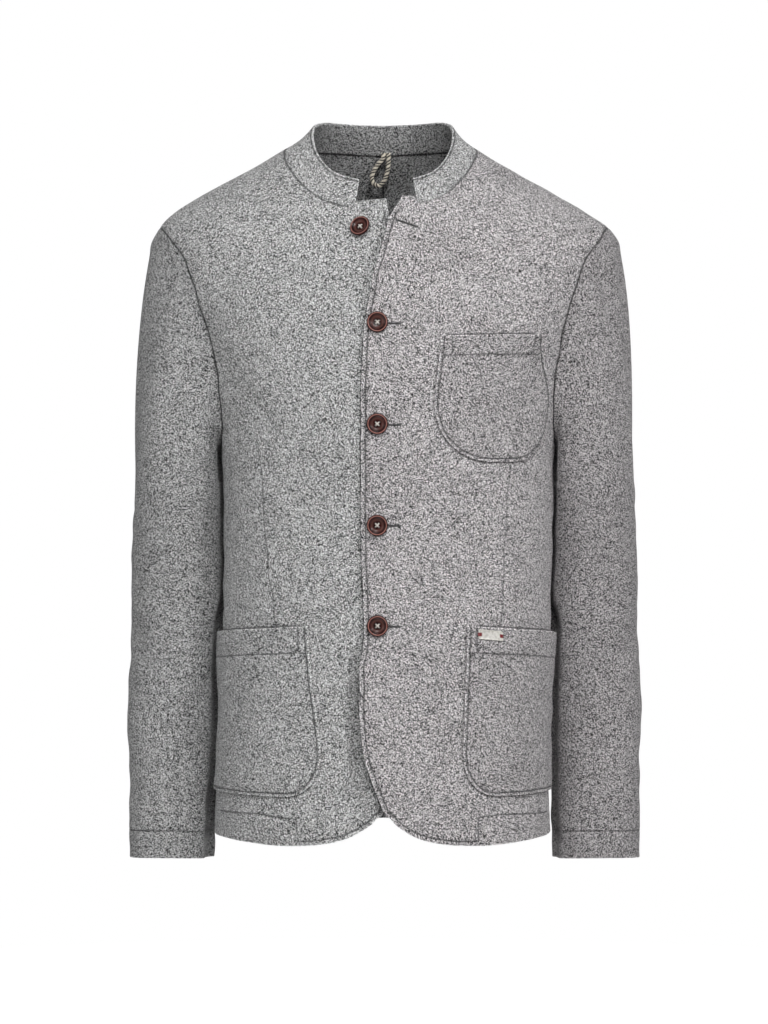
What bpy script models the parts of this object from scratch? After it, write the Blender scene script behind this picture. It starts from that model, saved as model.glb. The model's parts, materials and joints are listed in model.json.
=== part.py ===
"""A stand-collar blazer in boiled wool, filled out as if worn, built from the pieces that a maker cuts.

Metres, +Z up. The wearer faces -Y, with the left side at +X. The origin is in the neck opening, where the
neck and shoulders carry the jacket. Each piece of cloth is a wall on one shared form: the body is a stack
of rounded sections read from BODY, and each sleeve is a tube of sections read from SLEEVE, closed to the
armhole by a sleeve head.
"""

import math

import bmesh
import bpy
import numpy as np
from mathutils import Matrix, Vector

MM = 0.001

# Cloth and seams
CLOTH = 2.5 * MM
COLLAR_CLOTH = 4.0 * MM
SEAM = 0.3 * MM
REST_GAP = 0.8 * MM

# Heights
HEM = -693.5 * MM
NECK_SIDE = 10.0 * MM
SHOULDER_TIP = -74.0 * MM
ARMPIT = -297.0 * MM
BICEPS = -335.0 * MM
CUFF = -723.0 * MM
CUFF_TILT = 3.0 * MM

# Armhole, as degrees round the body from the side
ARMHOLE_FRONT = 18.5
ARMHOLE_BACK = 17.0
ARMHOLE_SQUARENESS = 2.6
SIDE_SEAM = 8.0
SIDE_SEAM_RUN = 130.0 * MM

# Front closing
BUTTON_X = -5.5 * MM
BUTTON_TOP = -178.5 * MM
BUTTON_PITCH = 100.0 * MM
BUTTONS_CLOSED = 4
OPEN_BUTTON = (-21.0 * MM, -82.0 * MM)
OPEN_BUTTON_TURN = 22.0
BUTTON_RADIUS = 10.75 * MM
BUTTON_GAP = 0.6 * MM
LAP_RISE = CLOTH + 0.8 * MM
LAP_FULL = 30.0 * MM
LAP_END = 85.0 * MM
LIFT_REACH = 32.0 * MM
NECK_STEP = 6.0 * MM
COLLAR_END = -71.5
NOTCH_GAP = 1.2

# Patch pockets, as cloth distance from the middle of the front and height; the first number of each side
# is at the mouth and the second at the foot
CHEST_POCKET = {
    "left": (57 * MM, 50.5 * MM),
    "right": (169 * MM, 190 * MM),
    "top_left": -191 * MM,
    "top_right": -187 * MM,
    "bottom": -315.5 * MM,
    "round_left": (62 * MM, 60 * MM),
    "round_right": (62 * MM, 60 * MM),
}
HIP_POCKET = {
    "right": (236 * MM, 234 * MM),
    "top_left": -479 * MM,
    "top_right": -489 * MM,
    "bottom": -648.5 * MM,
    "round_left": (38 * MM, 42 * MM),
    "round_right": (10 * MM, 12 * MM),
}
HIP_LEFT = (84 * MM, 80 * MM)
HIP_RIGHT = (75 * MM, 62 * MM)
POCKET_TOP = -452 * MM
POCKET_LEAD = 26 * MM
POCKET_ROOM = 6.5 * MM
SLEEVE_REST = 2.5 * MM
SLEEVE_SHIFT = 1.5 * MM
PLATE = {
    "from_edge": 10.8 * MM,
    "drop": 3.8 * MM,
    "long": 27 * MM,
    "tall": 10 * MM,
    "thick": 1 * MM,
    "tilt": -0.05,
}

# Grids. Each half of the armhole has the same steps as the sleeve, so that their edges run side by side;
# the two long sleeve seams lie this many steps from the shoulder.
SIDE_STEPS = (10, 11, 5)
SLEEVE_SEAM_STEP = 8
HEAD_ROWS = 7
TUBE_ROWS = 12
SLEEVE_RADIUS = 42 * MM
FRONT_COLUMNS = 18
BACK_COLUMNS = 12


def table(columns, *rows):
    """A short table as one array for each named column; lengths are written in millimetres."""
    names = columns.split()
    lengths = [name for name in names if name not in ("angle", "turn", "squareness")]
    made = {name: np.array(values, float) for name, values in zip(names, zip(*rows))}
    return {name: made[name] * (MM if name in lengths else 1.0) for name in names}


BODY = table(
    "height half_width front back squareness shift",
    (-697.5, 172.5, 137, 140, 2.45, -1.5),
    (-640, 170.5, 136, 137, 2.45, 0),
    (-560, 168.5, 133, 130, 2.40, 2),
    (-487, 168.5, 131, 124, 2.35, 3.5),
    (-400, 169, 130, 122, 2.30, 5),
    (-335, 169.5, 132, 127, 2.25, 5.5),
    (-297, 171.5, 134, 131, 2.20, 5),
    (-240, 183, 134, 136, 2.10, 3.5),
    (-198, 197, 131, 137, 2.05, 2.5),
    (-155, 214, 125, 133, 2.05, 2),
    (-112, 233, 113, 125, 2.05, 2),
    (-90, 240, 105.5, 119, 2.05, 2.5),
    (-74, 231.5, 99, 114, 2.05, 1),
    (-58, 212, 91.5, 109, 2.05, -2.5),
    (-42, 186, 82, 103, 2.05, -3.5),
    (-26, 157, 73.5, 96, 2.05, -3.5),
    (-10, 128, 65, 88, 2.05, -3),
    (10, 95, 52, 78, 2.05, -2),
    (24, 72, 42, 71, 2.05, -1),
)

# The neck seam, as the height at each angle round the body; 0 is the side, -90 the front, 90 the back
NECKLINE = table(
    "angle height",
    (-95, -60.5),
    (-72, -59.2),
    (-60, -54.5),
    (-50, -45.5),
    (-38, -29),
    (-28, -14),
    (-16, 0),
    (0, 10),
    (20, 11.5),
    (50, 11.5),
    (90, 9.6),
)

COLLAR_TOP = table(
    "angle radius height",
    (-76, 78, -31),
    (-60, 79, -25.5),
    (-50, 78.5, -20),
    (-40, 77.5, -11),
    (-30, 76.5, 0),
    (-20, 75, 12),
    (-10, 73.5, 22.5),
    (0, 72, 31),
    (15, 71.5, 37),
    (40, 71, 41),
    (90, 70, 40.5),
)

# How far the front edge of each front lies to its own side of the middle, and how far the left one lifts
FRONT_EDGE = table(
    "height left right lift",
    (-666, 2.6, 1, 5),
    (-646, -5.6, -6.5, 6.5),
    (-630, -12, -12.5, 7.5),
    (-617, -16, -16, 8),
    (-595, -20.4, -20, 8.5),
    (-567, -22, -21, 8.5),
    (-526, -22.7, -21, 6),
    (-497, -19.5, -21, 3.4),
    (-478.5, -18.5, -21, 2.4),
    (-430, -20.5, -21, 2),
    (-379, -21.3, -21, 0.6),
    (-330, -21.5, -21, 2),
    (-279, -21.5, -21, 0.6),
    (-216, -20.3, -20.5, 2),
    (-178.5, -17.5, -19.5, 1),
    (-143, -11.3, -16, 6),
    (-112, -3, -12, 9),
    (-77, 5.4, -7.5, 7),
    (-50, 19.9, -3, 2.5),
)

# The cutaway and hem of a front, as the height at each distance from the middle
FRONT_HEM = table(
    "across height",
    (0, -668),
    (2.6, -666.5),
    (12.5, -675.5),
    (19.8, -680.5),
    (27.7, -685),
    (36.6, -689),
    (52.4, -693.5),
    (76, -696.5),
    (100, -697.5),
    (120, -696.8),
    (140, -695.5),
    (160, -694),
    (200, -693.5),
)

SLEEVE = table(
    "height centre_x centre_y half_width half_depth turn squareness",
    (-760, 217, 18, 48, 42, 4, 2.15),
    (-721, 216.5, 18, 48, 42, 4, 2.15),
    (-650, 217.5, 25, 46.5, 46, 6, 2.15),
    (-560, 216, 31, 51, 50, 8, 2.15),
    (-487, 212.5, 32, 52, 54, 9, 2.15),
    (-410, 211, 27, 50.5, 59, 9, 2.15),
    (-335, 209, 17, 48, 66, 7, 2.20),
    (-297, 208.5, 13, 47.5, 68, 6, 2.20),
)

# Soft folds: where each lies, how long and wide it is, how it leans, and how far it sinks
BODY_FOLDS = table(
    "angle height length width depth",
    (-52, -330, 120, 16, 1.6),
    (-128, -350, 110, 16, 1.4),
    (-36, -262, 60, 14, 2.2),
    (-144, -262, 60, 14, 2.2),
    (60, -190, 120, 22, 2.4),
    (118, -200, 130, 22, 2.4),
    (48, -420, 110, 18, 2.2),
    (131, -440, 120, 20, 2.0),
    (84, -520, 120, 20, 1.6),
)

SLEEVE_FOLDS = table(
    "turn height length width depth",
    (112, -420, 100, 26, 2.2),
    (70, -520, 90, 26, 1.6),
    (100, -610, 90, 24, 2.0),
    (292, -430, 100, 28, 2.0),
    (300, -560, 90, 28, 1.6),
)


def hermite(x, y, tangent, at):
    """A cubic between each two points that leaves and reaches them at the tangents given."""
    step = np.diff(x)
    at = np.clip(at, x[0], x[-1])
    i = np.clip(np.searchsorted(x, at, side="right") - 1, 0, len(step) - 1)
    t = (at - x[i]) / step[i]
    start = (1 + 2 * t) * (1 - t) ** 2 * y[i] + t * (1 - t) ** 2 * step[i] * tangent[i]
    end = t**2 * (3 - 2 * t) * y[i + 1] + t**2 * (t - 1) * step[i] * tangent[i + 1]
    return start + end


def smooth(x, y, at):
    """A curve through the points that never overshoots them, at each place asked for."""
    slope = np.diff(y) / np.diff(x)
    rising = slope[:-1] * slope[1:] > 0
    middle = 2 * slope[:-1] * slope[1:] / np.where(rising, slope[:-1] + slope[1:], 1.0)
    tangent = np.concatenate([slope[:1], np.where(rising, middle, 0.0), slope[-1:]])
    return hermite(x, y, tangent, at)


def read(rows, column, at, by="height"):
    return smooth(rows[by], rows[column], at)


def ease(t):
    """From 0 to 1 with no sudden turn at either end."""
    t = np.clip(t, 0.0, 1.0)
    return t * t * (3 - 2 * t)


def unit(v):
    return v / np.linalg.norm(v, axis=-1, keepdims=True)


def rounded(angle, half_x, half_y, squareness):
    """Radius of a section between an ellipse and a rectangle, at an angle in radians."""
    across = np.abs(np.cos(angle) / half_x) ** squareness
    along = np.abs(np.sin(angle) / half_y) ** squareness
    return (across + along) ** (-1 / squareness)


def folds(rows, place, angle, height, radius):
    """How far the cloth sinks in soft troughs that run down at their own angle."""
    sink = np.zeros(np.broadcast(angle, height).shape)
    for i, where in enumerate(rows[place]):
        apart = (np.degrees(angle) - where + 180) % 360 - 180
        across = np.radians(apart) * radius
        along = height - rows["height"][i]
        lean = across * 0.8 - along * 0.6 * (-1) ** i
        run = across * 0.6 + along * 0.8
        bump = np.exp(-((lean / rows["width"][i]) ** 2) - (2 * run / rows["length"][i]) ** 2)
        sink += rows["depth"][i] * bump
    return sink


def body_form(angle, height, side):
    """Outer face of one half of the body, with x outward from the middle on either half. Angles are in
    radians from the side, negative towards the front."""
    front, back = read(BODY, "front", height), read(BODY, "back", height)
    depth = np.where(np.sin(angle) < 0, front, back)
    radius = rounded(angle, read(BODY, "half_width", height), depth, read(BODY, "squareness", height))
    real = np.where(np.asarray(side) > 0, angle, math.pi - angle)
    radius = radius - folds(BODY_FOLDS, "angle", real, height, radius)
    across = radius * np.cos(angle) + side * read(BODY, "shift", height)
    return np.stack([across, radius * np.sin(angle), height + 0 * angle], -1)


def facing(form, u, v):
    """Unit normal of a form, from small steps along its two directions."""
    step = 1e-4
    along_u = form(u + step, v) - form(u - step, v)
    along_v = form(u, v + step) - form(u, v - step)
    return unit(np.cross(along_u, along_v))


def body_point(angle, height, side, out=0.0):
    """A point of the body moved out by a distance, and the normal there."""
    normal = facing(lambda u, v: body_form(u, v, side), angle, height)
    return body_form(angle, height, side) + np.asarray(out)[..., None] * normal, normal


def angle_at_x(across, height, side):
    """The angle on the front where the body lies that far to its own side of the middle."""
    across = across - side * read(BODY, "shift", height)
    half = read(BODY, "half_width", height)
    power = read(BODY, "squareness", height)
    depth = read(BODY, "front", height) * (1 - np.abs(across / half) ** power) ** (1 / power)
    return np.arctan2(-depth, across)


def angle_at_girth(girth, height, side):
    """The angle that lies this far from the middle of the front, measured along the cloth."""
    fine = np.radians(np.linspace(-92, 30, 245))
    shape = girth.shape
    girth, height = girth.ravel(), height.ravel()
    ring = body_form(fine[None, :], height[:, None], side)
    run = np.cumsum(np.linalg.norm(np.diff(ring, axis=1), axis=2), axis=1)
    run = np.concatenate([np.zeros((len(run), 1)), run], axis=1)
    found = [np.interp(g + np.interp(0, x, r), r, fine) for g, r, x in zip(girth, run, ring[..., 0])]
    return np.array(found).reshape(shape)


def armhole(turn):
    """Angle and height of the armhole seam; turn 0 is the shoulder, 90 the front, 180 under the arm."""
    across, up = np.sin(turn), np.cos(turn)
    power = 2 / ARMHOLE_SQUARENESS
    middle, half = (SHOULDER_TIP + ARMPIT) / 2, (SHOULDER_TIP - ARMPIT) / 2
    swing = np.radians(np.where(across > 0, -ARMHOLE_FRONT, ARMHOLE_BACK))
    return swing * np.abs(across) ** power, middle + half * np.sign(up) * np.abs(up) ** power


def coons(bottom, top, left, right):
    """Fills four edges that meet at their ends with a grid of points, in the plane of angle and height."""
    s = np.linspace(0, 1, len(bottom))[None, :, None]
    t = np.linspace(0, 1, len(left))[:, None, None]
    across = (1 - t) * bottom[None] + t * top[None]
    along = (1 - s) * left[:, None] + s * right[:, None]
    corners = (1 - t) * ((1 - s) * bottom[0] + s * bottom[-1]) + t * ((1 - s) * top[0] + s * top[-1])
    return across + along - corners


def side_edge(towards):
    """The edge that a front or back shares with the sleeve: side seam, armhole and shoulder seam, from the
    hem up. The direction is -1 for a front and 1 for a back."""
    low, hole, top = SIDE_STEPS
    height = np.linspace(HEM, ARMPIT, low + 1)[:-1]
    seam = np.radians(SIDE_SEAM) * ease((ARMPIT - height) / SIDE_SEAM_RUN)
    turn = np.linspace(math.pi, 0, hole + 1)
    around, rise = armhole(-towards * turn)
    ridge = np.linspace(SHOULDER_TIP, NECK_SIDE, top + 1)[1:]
    angle = np.concatenate([seam, around, 0 * ridge])
    height = np.concatenate([height, rise, ridge])
    half_seam = SEAM / 2 / read(BODY, "half_width", height)
    open_edge = np.concatenate([np.ones(low), np.zeros(hole + 1), np.ones(top)])
    return np.stack([angle + towards * half_seam * open_edge, height], -1)


def rim_faces(points, outer, inner):
    """The narrow faces round a wall, each cut along its shorter diagonal, so that two pieces that share a
    seam are cut alike and keep clear of each other."""
    faces = []
    for b, a, c, d in zip(outer, np.roll(outer, -1), inner, np.roll(inner, -1)):
        across = np.linalg.norm(points[a] - points[c]) <= np.linalg.norm(points[b] - points[d])
        pair = [(a, b, c), (a, c, d)] if across else [(a, b, d), (b, c, d)]
        faces += [[int(corner) for corner in face] for face in pair]
    return faces


def grid_mesh(name, outer, inner, side):
    """A closed wall between two grids of points: both faces, and a rim round the four edges. The right half
    is the left half's way of counting, mirrored."""
    rows, columns = outer.shape[:2]
    number = np.arange(rows * columns).reshape(rows, columns)
    corners = [number[:-1, :-1], number[:-1, 1:], number[1:, 1:], number[1:, :-1]]
    front = np.stack(corners, -1).reshape(-1, 4)
    back = front[:, ::-1] + rows * columns
    loop = np.concatenate([number[0, :-1], number[:-1, -1], number[-1, :0:-1], number[:0:-1, 0]])
    points = np.concatenate([outer.reshape(-1, 3), inner.reshape(-1, 3)]) * [side, 1, 1]
    faces = front.tolist() + back.tolist() + rim_faces(points, loop, loop + rows * columns)
    mesh = bpy.data.meshes.new(name)
    mesh.from_pydata(points.tolist(), [], [face[::-1] for face in faces] if side < 0 else faces)
    mesh.shade_smooth()
    mesh.set_sharp_from_angle(angle=math.radians(50))
    return mesh


def material(name, colour, roughness, metallic=0.0):
    made = bpy.data.materials.new(name)
    made.use_nodes = True
    shader = made.node_tree.nodes["Principled BSDF"]
    shader.inputs["Base Color"].default_value = (*colour, 1.0)
    shader.inputs["Roughness"].default_value = roughness
    shader.inputs["Metallic"].default_value = metallic
    made.diffuse_color = (*colour, 1.0)
    return made


def add(name, mesh, finish, jacket, matrix=None):
    """One piece of the jacket as an object of its own, with its own copy of the finish's material."""
    obj = bpy.data.objects.new(name, mesh)
    jacket.objects.link(obj)
    obj.matrix_world = matrix or Matrix.Identity(4)
    obj.data.materials.clear()
    obj.data.materials.append(material(f"{name}_{finish[0]}", *finish[1:]))
    return obj


WOOL = ("wool", (0.36, 0.36, 0.365), 0.95)
HORN = ("horn", (0.09, 0.018, 0.014), 0.22)
TWIST = ("twist", (0.45, 0.38, 0.26), 0.85)
STEEL = ("steel", (0.72, 0.70, 0.62), 0.35, 0.8)


def front_out(points, angle, height, side):
    """How far a front lies outside the body's form: the left one rides over the right one and lifts."""
    across = points[..., 0]
    if side < 0:
        return np.zeros(across.shape)
    lap = LAP_RISE * ease((LAP_END - across) / (LAP_END - LAP_FULL))
    inside = across - read(FRONT_EDGE, "left", height)
    lift = read(FRONT_EDGE, "lift", height) * np.exp(-((np.maximum(inside, 0) / LIFT_REACH) ** 2))
    return lap + lift * (np.abs(angle) > math.radians(45))


def front_edges(side):
    """The four edges of a front as angle and height: hem, neck, front edge and side. Two columns of the
    grid stand close together at the collar's end, where the neck steps up to the front edge."""
    right = side_edge(-1)
    up = (right[:, 1] - right[0, 1]) / (right[-1, 1] - right[0, 1])
    edge = "left" if side > 0 else "right"
    low, high = FRONT_EDGE["height"][0], FRONT_EDGE["height"][-1]
    rise = low + up * (high - low)
    left = np.stack([angle_at_x(read(FRONT_EDGE, edge, rise), rise, side), rise], -1)
    even = np.linspace(0, 1, FRONT_COLUMNS)
    share = 0.35 * ease(even) + 0.65 * even
    start, end = left[-1, 0], right[-1, 0]
    notch = (math.radians(COLLAR_END) - start) / (end - start)
    near = max(1, int(np.argmin(np.abs(share - notch))))
    gap = math.radians(NOTCH_GAP) / (end - start)
    share[near], share[near + 1] = notch - gap / 2, notch + gap / 2
    neck_angle = start + share * (end - start)
    neck = smooth(NECKLINE["angle"], NECKLINE["height"], np.degrees(neck_angle))
    before = np.arange(FRONT_COLUMNS) <= near
    step_top = neck[near + 1] + NECK_STEP
    neck = np.where(before, rise[-1] + share / share[near] * (step_top - rise[-1]), neck)
    top = np.stack([neck_angle, neck], -1)
    top[-1] = right[-1]
    hem_angle = left[0, 0] + share * (right[0, 0] - left[0, 0])
    across = body_form(hem_angle, 0 * hem_angle + HEM, side)[:, 0]
    hem = smooth(FRONT_HEM["across"], FRONT_HEM["height"], across)
    hem[0] = left[0, 1]
    bottom = np.stack([hem_angle, hem], -1)
    bottom[-1] = right[0]
    return bottom, top, left, right


def back_edges(side):
    """The four edges of a back: hem, neck, the side that it shares with the sleeve, and the middle seam."""
    left = side_edge(1)
    up = (left[:, 1] - left[0, 1]) / (left[-1, 1] - left[0, 1])
    rise = HEM + up * (NECKLINE["height"][-1] - HEM)
    shift = (SEAM / 2 - side * read(BODY, "shift", rise)) / read(BODY, "back", rise)
    right = np.stack([math.pi / 2 - shift, rise], -1)
    share = np.linspace(0, 1, BACK_COLUMNS)
    neck_angle = left[-1, 0] + share * (right[-1, 0] - left[-1, 0])
    neck = smooth(NECKLINE["angle"], NECKLINE["height"], np.degrees(neck_angle))
    top = np.stack([neck_angle, neck], -1)
    top[0], top[-1] = left[-1], right[-1]
    bottom = left[0] + share[:, None] * (right[0] - left[0])
    return bottom, top, left, right


def make_front(name, side, jacket):
    plane = coons(*front_edges(side))
    angle, height = plane[..., 0], plane[..., 1]
    out = front_out(body_form(angle, height, side), angle, height, side)
    outer, normal = body_point(angle, height, side, out)
    add(name, grid_mesh(name, outer, outer - CLOTH * normal, side), WOOL, jacket)


def make_back(name, side, jacket):
    plane = coons(*back_edges(side))
    outer, normal = body_point(plane[..., 0], plane[..., 1], side)
    add(name, grid_mesh(name, outer, outer - CLOTH * normal, side), WOOL, jacket)


def sleeve_tube(turn, height, side):
    """Outer face of a sleeve below the arm; turn 0 is outside, 90 front, 180 next to the body."""
    half_width = read(SLEEVE, "half_width", height)
    half_depth = read(SLEEVE, "half_depth", height)
    radius = rounded(turn, half_width, half_depth, read(SLEEVE, "squareness", height))
    radius = radius - folds(SLEEVE_FOLDS, "turn", turn, height, radius)
    swing = turn - np.radians(read(SLEEVE, "turn", height))
    x = read(SLEEVE, "centre_x", height) + side * SLEEVE_SHIFT + radius * np.cos(swing)
    y = read(SLEEVE, "centre_y", height) - radius * np.sin(swing)
    tilt = CUFF_TILT * ease((BICEPS - height) / (BICEPS - CUFF)) * np.sin(turn)
    return clear_of_body(np.stack([x, y, height + tilt], -1), SLEEVE_REST, 1.0, side)


def clear_of_body(points, least, held, side):
    """Moves points out from the body so that they stay at least this far off it, as a sleeve that rests
    against the side does. The hip pocket stands further out than the cloth beside it."""
    height = points[..., 2]
    across = points[..., 0] - side * read(BODY, "shift", height)
    angle = np.arctan2(points[..., 1], across)
    pocket = ease((math.radians(15) - angle) / math.radians(9)) * ease((POCKET_TOP - height) / POCKET_LEAD)
    form = body_form(angle, height, side)
    limit = np.hypot(form[..., 0] - side * read(BODY, "shift", height), form[..., 1])
    spare = np.hypot(across, points[..., 1]) - limit - least - POCKET_ROOM * pocket
    push = (np.hypot(spare, 4 * MM) - spare) / 2 * held
    return points + push[..., None] * np.stack([np.cos(angle), np.sin(angle), 0 * angle], -1)


def sleeve_form(turn, run, side):
    """Outer face of a sleeve. A run of 0 to 1 goes from the armhole to the biceps, 1 to 2 to the cuff.
    The head leaves the armhole along the shoulder on top and straight out under the arm."""
    angle, height = armhole(turn)
    start, normal = body_point(angle, height, side)
    ahead_angle, ahead_height = armhole(turn + 1e-3)
    ahead = body_form(ahead_angle, ahead_height, side) - start
    into = unit(np.cross(normal, ahead))
    start = start + SEAM * into
    bend = math.pi / 2 * ((1 - np.cos(turn)) / 2)[..., None] ** 1.6
    leave = np.cos(bend) * into + np.sin(bend) * normal
    end = sleeve_tube(turn, BICEPS + 0 * turn, side)
    below = sleeve_tube(turn, BICEPS - 1 * MM + 0 * turn, side)
    span = np.linalg.norm(end - start, axis=-1, keepdims=True)
    t = np.clip(run, 0.0, 1.0)[..., None]
    leave, arrive = leave * span * 0.42, unit(below - end) * span
    head = (1 + 2 * t) * (1 - t) ** 2 * start + t * (1 - t) ** 2 * leave
    head += t**2 * (3 - 2 * t) * end + t**2 * (t - 1) * arrive
    head = clear_of_body(head, SLEEVE_REST * ease(run), np.clip(run * HEAD_ROWS, 0, 1), side)
    tube = sleeve_tube(turn, BICEPS + (run - 1) * (CUFF - BICEPS), side)
    return np.where((run <= 1)[..., None], head, tube)


def make_sleeve(name, side, first, last, jacket):
    """The top sleeve or the under sleeve, from one long seam to the other, as steps round the armhole."""
    run = np.concatenate([np.linspace(0, 1, HEAD_ROWS + 1)[:-1], np.linspace(1, 2, TUBE_ROWS + 1)])
    turn = math.pi / SIDE_STEPS[1] * np.arange(first, last + 1)
    inset = np.zeros(len(turn))
    inset[0], inset[-1] = SEAM / 2 / SLEEVE_RADIUS, -SEAM / 2 / SLEEVE_RADIUS
    inset, _ = np.meshgrid(inset, run)
    turn, run = np.meshgrid(turn, run)
    outer = sleeve_form(turn + inset, run, side)
    normal = facing(lambda u, v: sleeve_form(u, v, side), turn, np.clip(run, 1e-4, 2.0))
    add(name, grid_mesh(name, outer, outer - CLOTH * normal, side), WOOL, jacket)


def neck_seam():
    """The neck seam as angle, height and half, from the left front's collar end round to the right's."""
    edges = []
    for side in (1, -1):
        front, back = front_edges(side)[1], back_edges(side)[1]
        front = front[front[:, 0] > math.radians(COLLAR_END)]
        seam = np.concatenate([front, back[1:]])
        edges.append(np.column_stack([seam, 0 * seam[:, 0] + side]))
    return np.concatenate([edges[0], edges[1][-2::-1]]).T


def make_collar(name, jacket):
    """A band two layers thick that stands on the neck seam, from one front round the back to the other."""
    angle, foot_height, side = neck_seam()
    mirror = np.stack([side, 1 + 0 * side, 1 + 0 * side], -1)
    foot, foot_normal = body_point(angle, foot_height, side)
    degrees = np.degrees(angle)
    radius = read(COLLAR_TOP, "radius", degrees, "angle")
    top_height = read(COLLAR_TOP, "height", degrees, "angle")
    top = np.stack([radius * np.cos(angle), radius * np.sin(angle), top_height], -1)
    rise = unit(top - foot)
    foot = foot + SEAM * unit(rise - 0.5 * foot_normal)
    t = np.linspace(0, 1, 4)[:, None, None]
    outer = ((1 - t) * foot + t * top - 1.5 * MM * np.sin(math.pi * t) * foot_normal) * mirror
    around, up = np.gradient(outer, axis=1), np.gradient(outer, axis=0)
    normal = unit(np.cross(around, up))
    normal[0] = foot_normal * mirror
    add(name, grid_mesh(name, outer, outer - COLLAR_CLOTH * normal, 1), WOOL, jacket)


def pocket_grid(left, right, top_left, top_right, bottom, round_left, round_right, rows, columns):
    """A patch with a rounded foot as cloth distance from the middle of the front, and height. Each side
    runs straight down to a rounded corner of its own radius and height."""
    top = np.linspace([left[0], top_left], [right[0], top_right], columns)
    corner = 0.5 ** (1 / 2.2)
    sides = []
    for (high, low), (wide, tall), sign in ((left, round_left, 1), (right, round_right, -1)):
        start = top_left if sign > 0 else top_right
        middle = bottom + tall
        end = middle - tall * corner
        height = np.linspace(end, start, rows)
        sunk = np.clip((middle - height) / tall, 0, 1)
        curve = wide * (1 - (1 - sunk**2.2) ** (1 / 2.2))
        straight = low + (high - low) * ease((height - middle) / (start - middle)) ** 0.8
        sides.append(np.stack([straight + sign * curve, height], -1))
    s = np.linspace(sides[0][0, 0], sides[1][0, 0], columns)
    sag_left = np.clip((left[1] + round_left[0] - s) / round_left[0], 0, 1)
    sag_right = np.clip((s - right[1] + round_right[0]) / round_right[0], 0, 1)
    foot = bottom + round_left[1] * (1 - (1 - sag_left**2.2) ** (1 / 2.2))
    foot = foot + round_right[1] * (1 - (1 - sag_right**2.2) ** (1 / 2.2))
    foot = np.stack([s, foot], -1)
    foot[0], foot[-1] = sides[0][0], sides[1][0]
    return coons(foot, top, sides[0], sides[1])


def make_patch(name, side, plane, thick, under, bulge, finish, jacket):
    """A piece that lies on a front: the front's own outer face, moved out."""
    girth, height = plane[..., 0], plane[..., 1]
    angle = angle_at_girth(girth, height, side)
    flat = body_form(angle, height, side)
    out = front_out(flat, angle, height, side) + REST_GAP + under + bulge
    inner, normal = body_point(angle, height, side, out)
    add(name, grid_mesh(name, inner + thick * normal, inner, side), finish, jacket)


def mouth_bulge(rows, columns, most, reach):
    """A pocket's mouth stands away from the front, most at its outer end."""
    up = ease((np.linspace(0, 1, rows) - 1 + reach) / reach)[:, None]
    across = ease(np.linspace(0, 1, columns) ** 1.5)[None, :]
    return most * up * across


def make_pockets(jacket):
    chest = pocket_grid(rows=11, columns=11, **CHEST_POCKET)
    make_patch("pocket_chest", 1, chest, CLOTH, 0, mouth_bulge(11, 11, 0.6 * MM, 0.4), WOOL, jacket)
    bulge = mouth_bulge(11, 14, 3 * MM, 0.5)
    for name, side, inner_side in (("pocket_left", 1, HIP_LEFT), ("pocket_right", -1, HIP_RIGHT)):
        hip = pocket_grid(left=inner_side, rows=11, columns=14, **HIP_POCKET)
        make_patch(name, side, hip, CLOTH, 0, bulge, WOOL, jacket)


def make_plate(name, jacket):
    """A small blank plate on the band of the left pocket, near the pocket's inner corner."""
    girth = HIP_LEFT[0] + PLATE["from_edge"] + np.linspace(0, PLATE["long"], 9)
    drop = HIP_POCKET["top_left"] - PLATE["drop"] - np.linspace(PLATE["tall"], 0, 4)
    girth, height = np.meshgrid(girth, drop)
    height = height + PLATE["tilt"] * (girth - girth[0, 0])
    plane = np.stack([girth, height], -1)
    under = CLOTH + 0.9 * MM
    make_patch(name, 1, plane, PLATE["thick"], under, 0.0, STEEL, jacket)


def button_mesh(cutters):
    """A turned button with a raised rim, a hollow face and four holes."""
    profile = [
        (0, 0),
        (7.5, 0),
        (10.0, 0.9),
        (10.75, 2.1),
        (10.3, 3.5),
        (9.3, 4.0),
        (8.2, 3.5),
        (7.2, 2.5),
        (0, 1.9),
    ]
    mesh = bpy.data.meshes.new("button_profile")
    points = [(x * MM, 0, y * MM) for x, y in reversed(profile)]
    mesh.from_pydata(points, [(i, i + 1) for i in range(len(points) - 1)], [])
    turned = bpy.data.objects.new("button_turned", mesh)
    cutters.objects.link(turned)
    screw = turned.modifiers.new("turn", "SCREW")
    screw.steps = screw.render_steps = 24
    screw.use_merge_vertices = True
    screw.merge_threshold = 0.00005
    for i in range(4):
        quarter = math.pi / 4 + i * math.pi / 2
        drill = bpy.data.meshes.new("button_drill")
        shape = bmesh.new()
        bmesh.ops.create_cone(
            shape, cap_ends=True, segments=6, radius1=1.0 * MM, radius2=1.0 * MM, depth=12 * MM
        )
        place = 0.26 * BUTTON_RADIUS * Vector((math.cos(quarter), math.sin(quarter), 0))
        bmesh.ops.translate(shape, verts=shape.verts, vec=place)
        shape.to_mesh(drill)
        shape.free()
        cutter = bpy.data.objects.new(f"button_drill_{i}", drill)
        cutter.hide_render = True
        cutter.display_type = "WIRE"
        cutters.objects.link(cutter)
        cut = turned.modifiers.new(f"hole_{i}", "BOOLEAN")
        cut.operation = "DIFFERENCE"
        cut.object = cutter
    graph = bpy.context.evaluated_depsgraph_get()
    made = bpy.data.meshes.new_from_object(turned.evaluated_get(graph))
    made.name = "button"
    for obj in list(cutters.objects):
        bpy.data.objects.remove(obj)
    made.shade_smooth()
    made.set_sharp_from_angle(angle=math.radians(35))
    return made


def front_face(across, height, side):
    """Points of a front's outer face and the normals there, in the jacket's own axes."""
    angle = angle_at_x(side * across, height, side)
    out = front_out(body_form(angle, height, side), angle, height, side)
    point, normal = body_point(angle, height, side, out)
    return point * [side, 1, 1], normal * [side, 1, 1]


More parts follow.
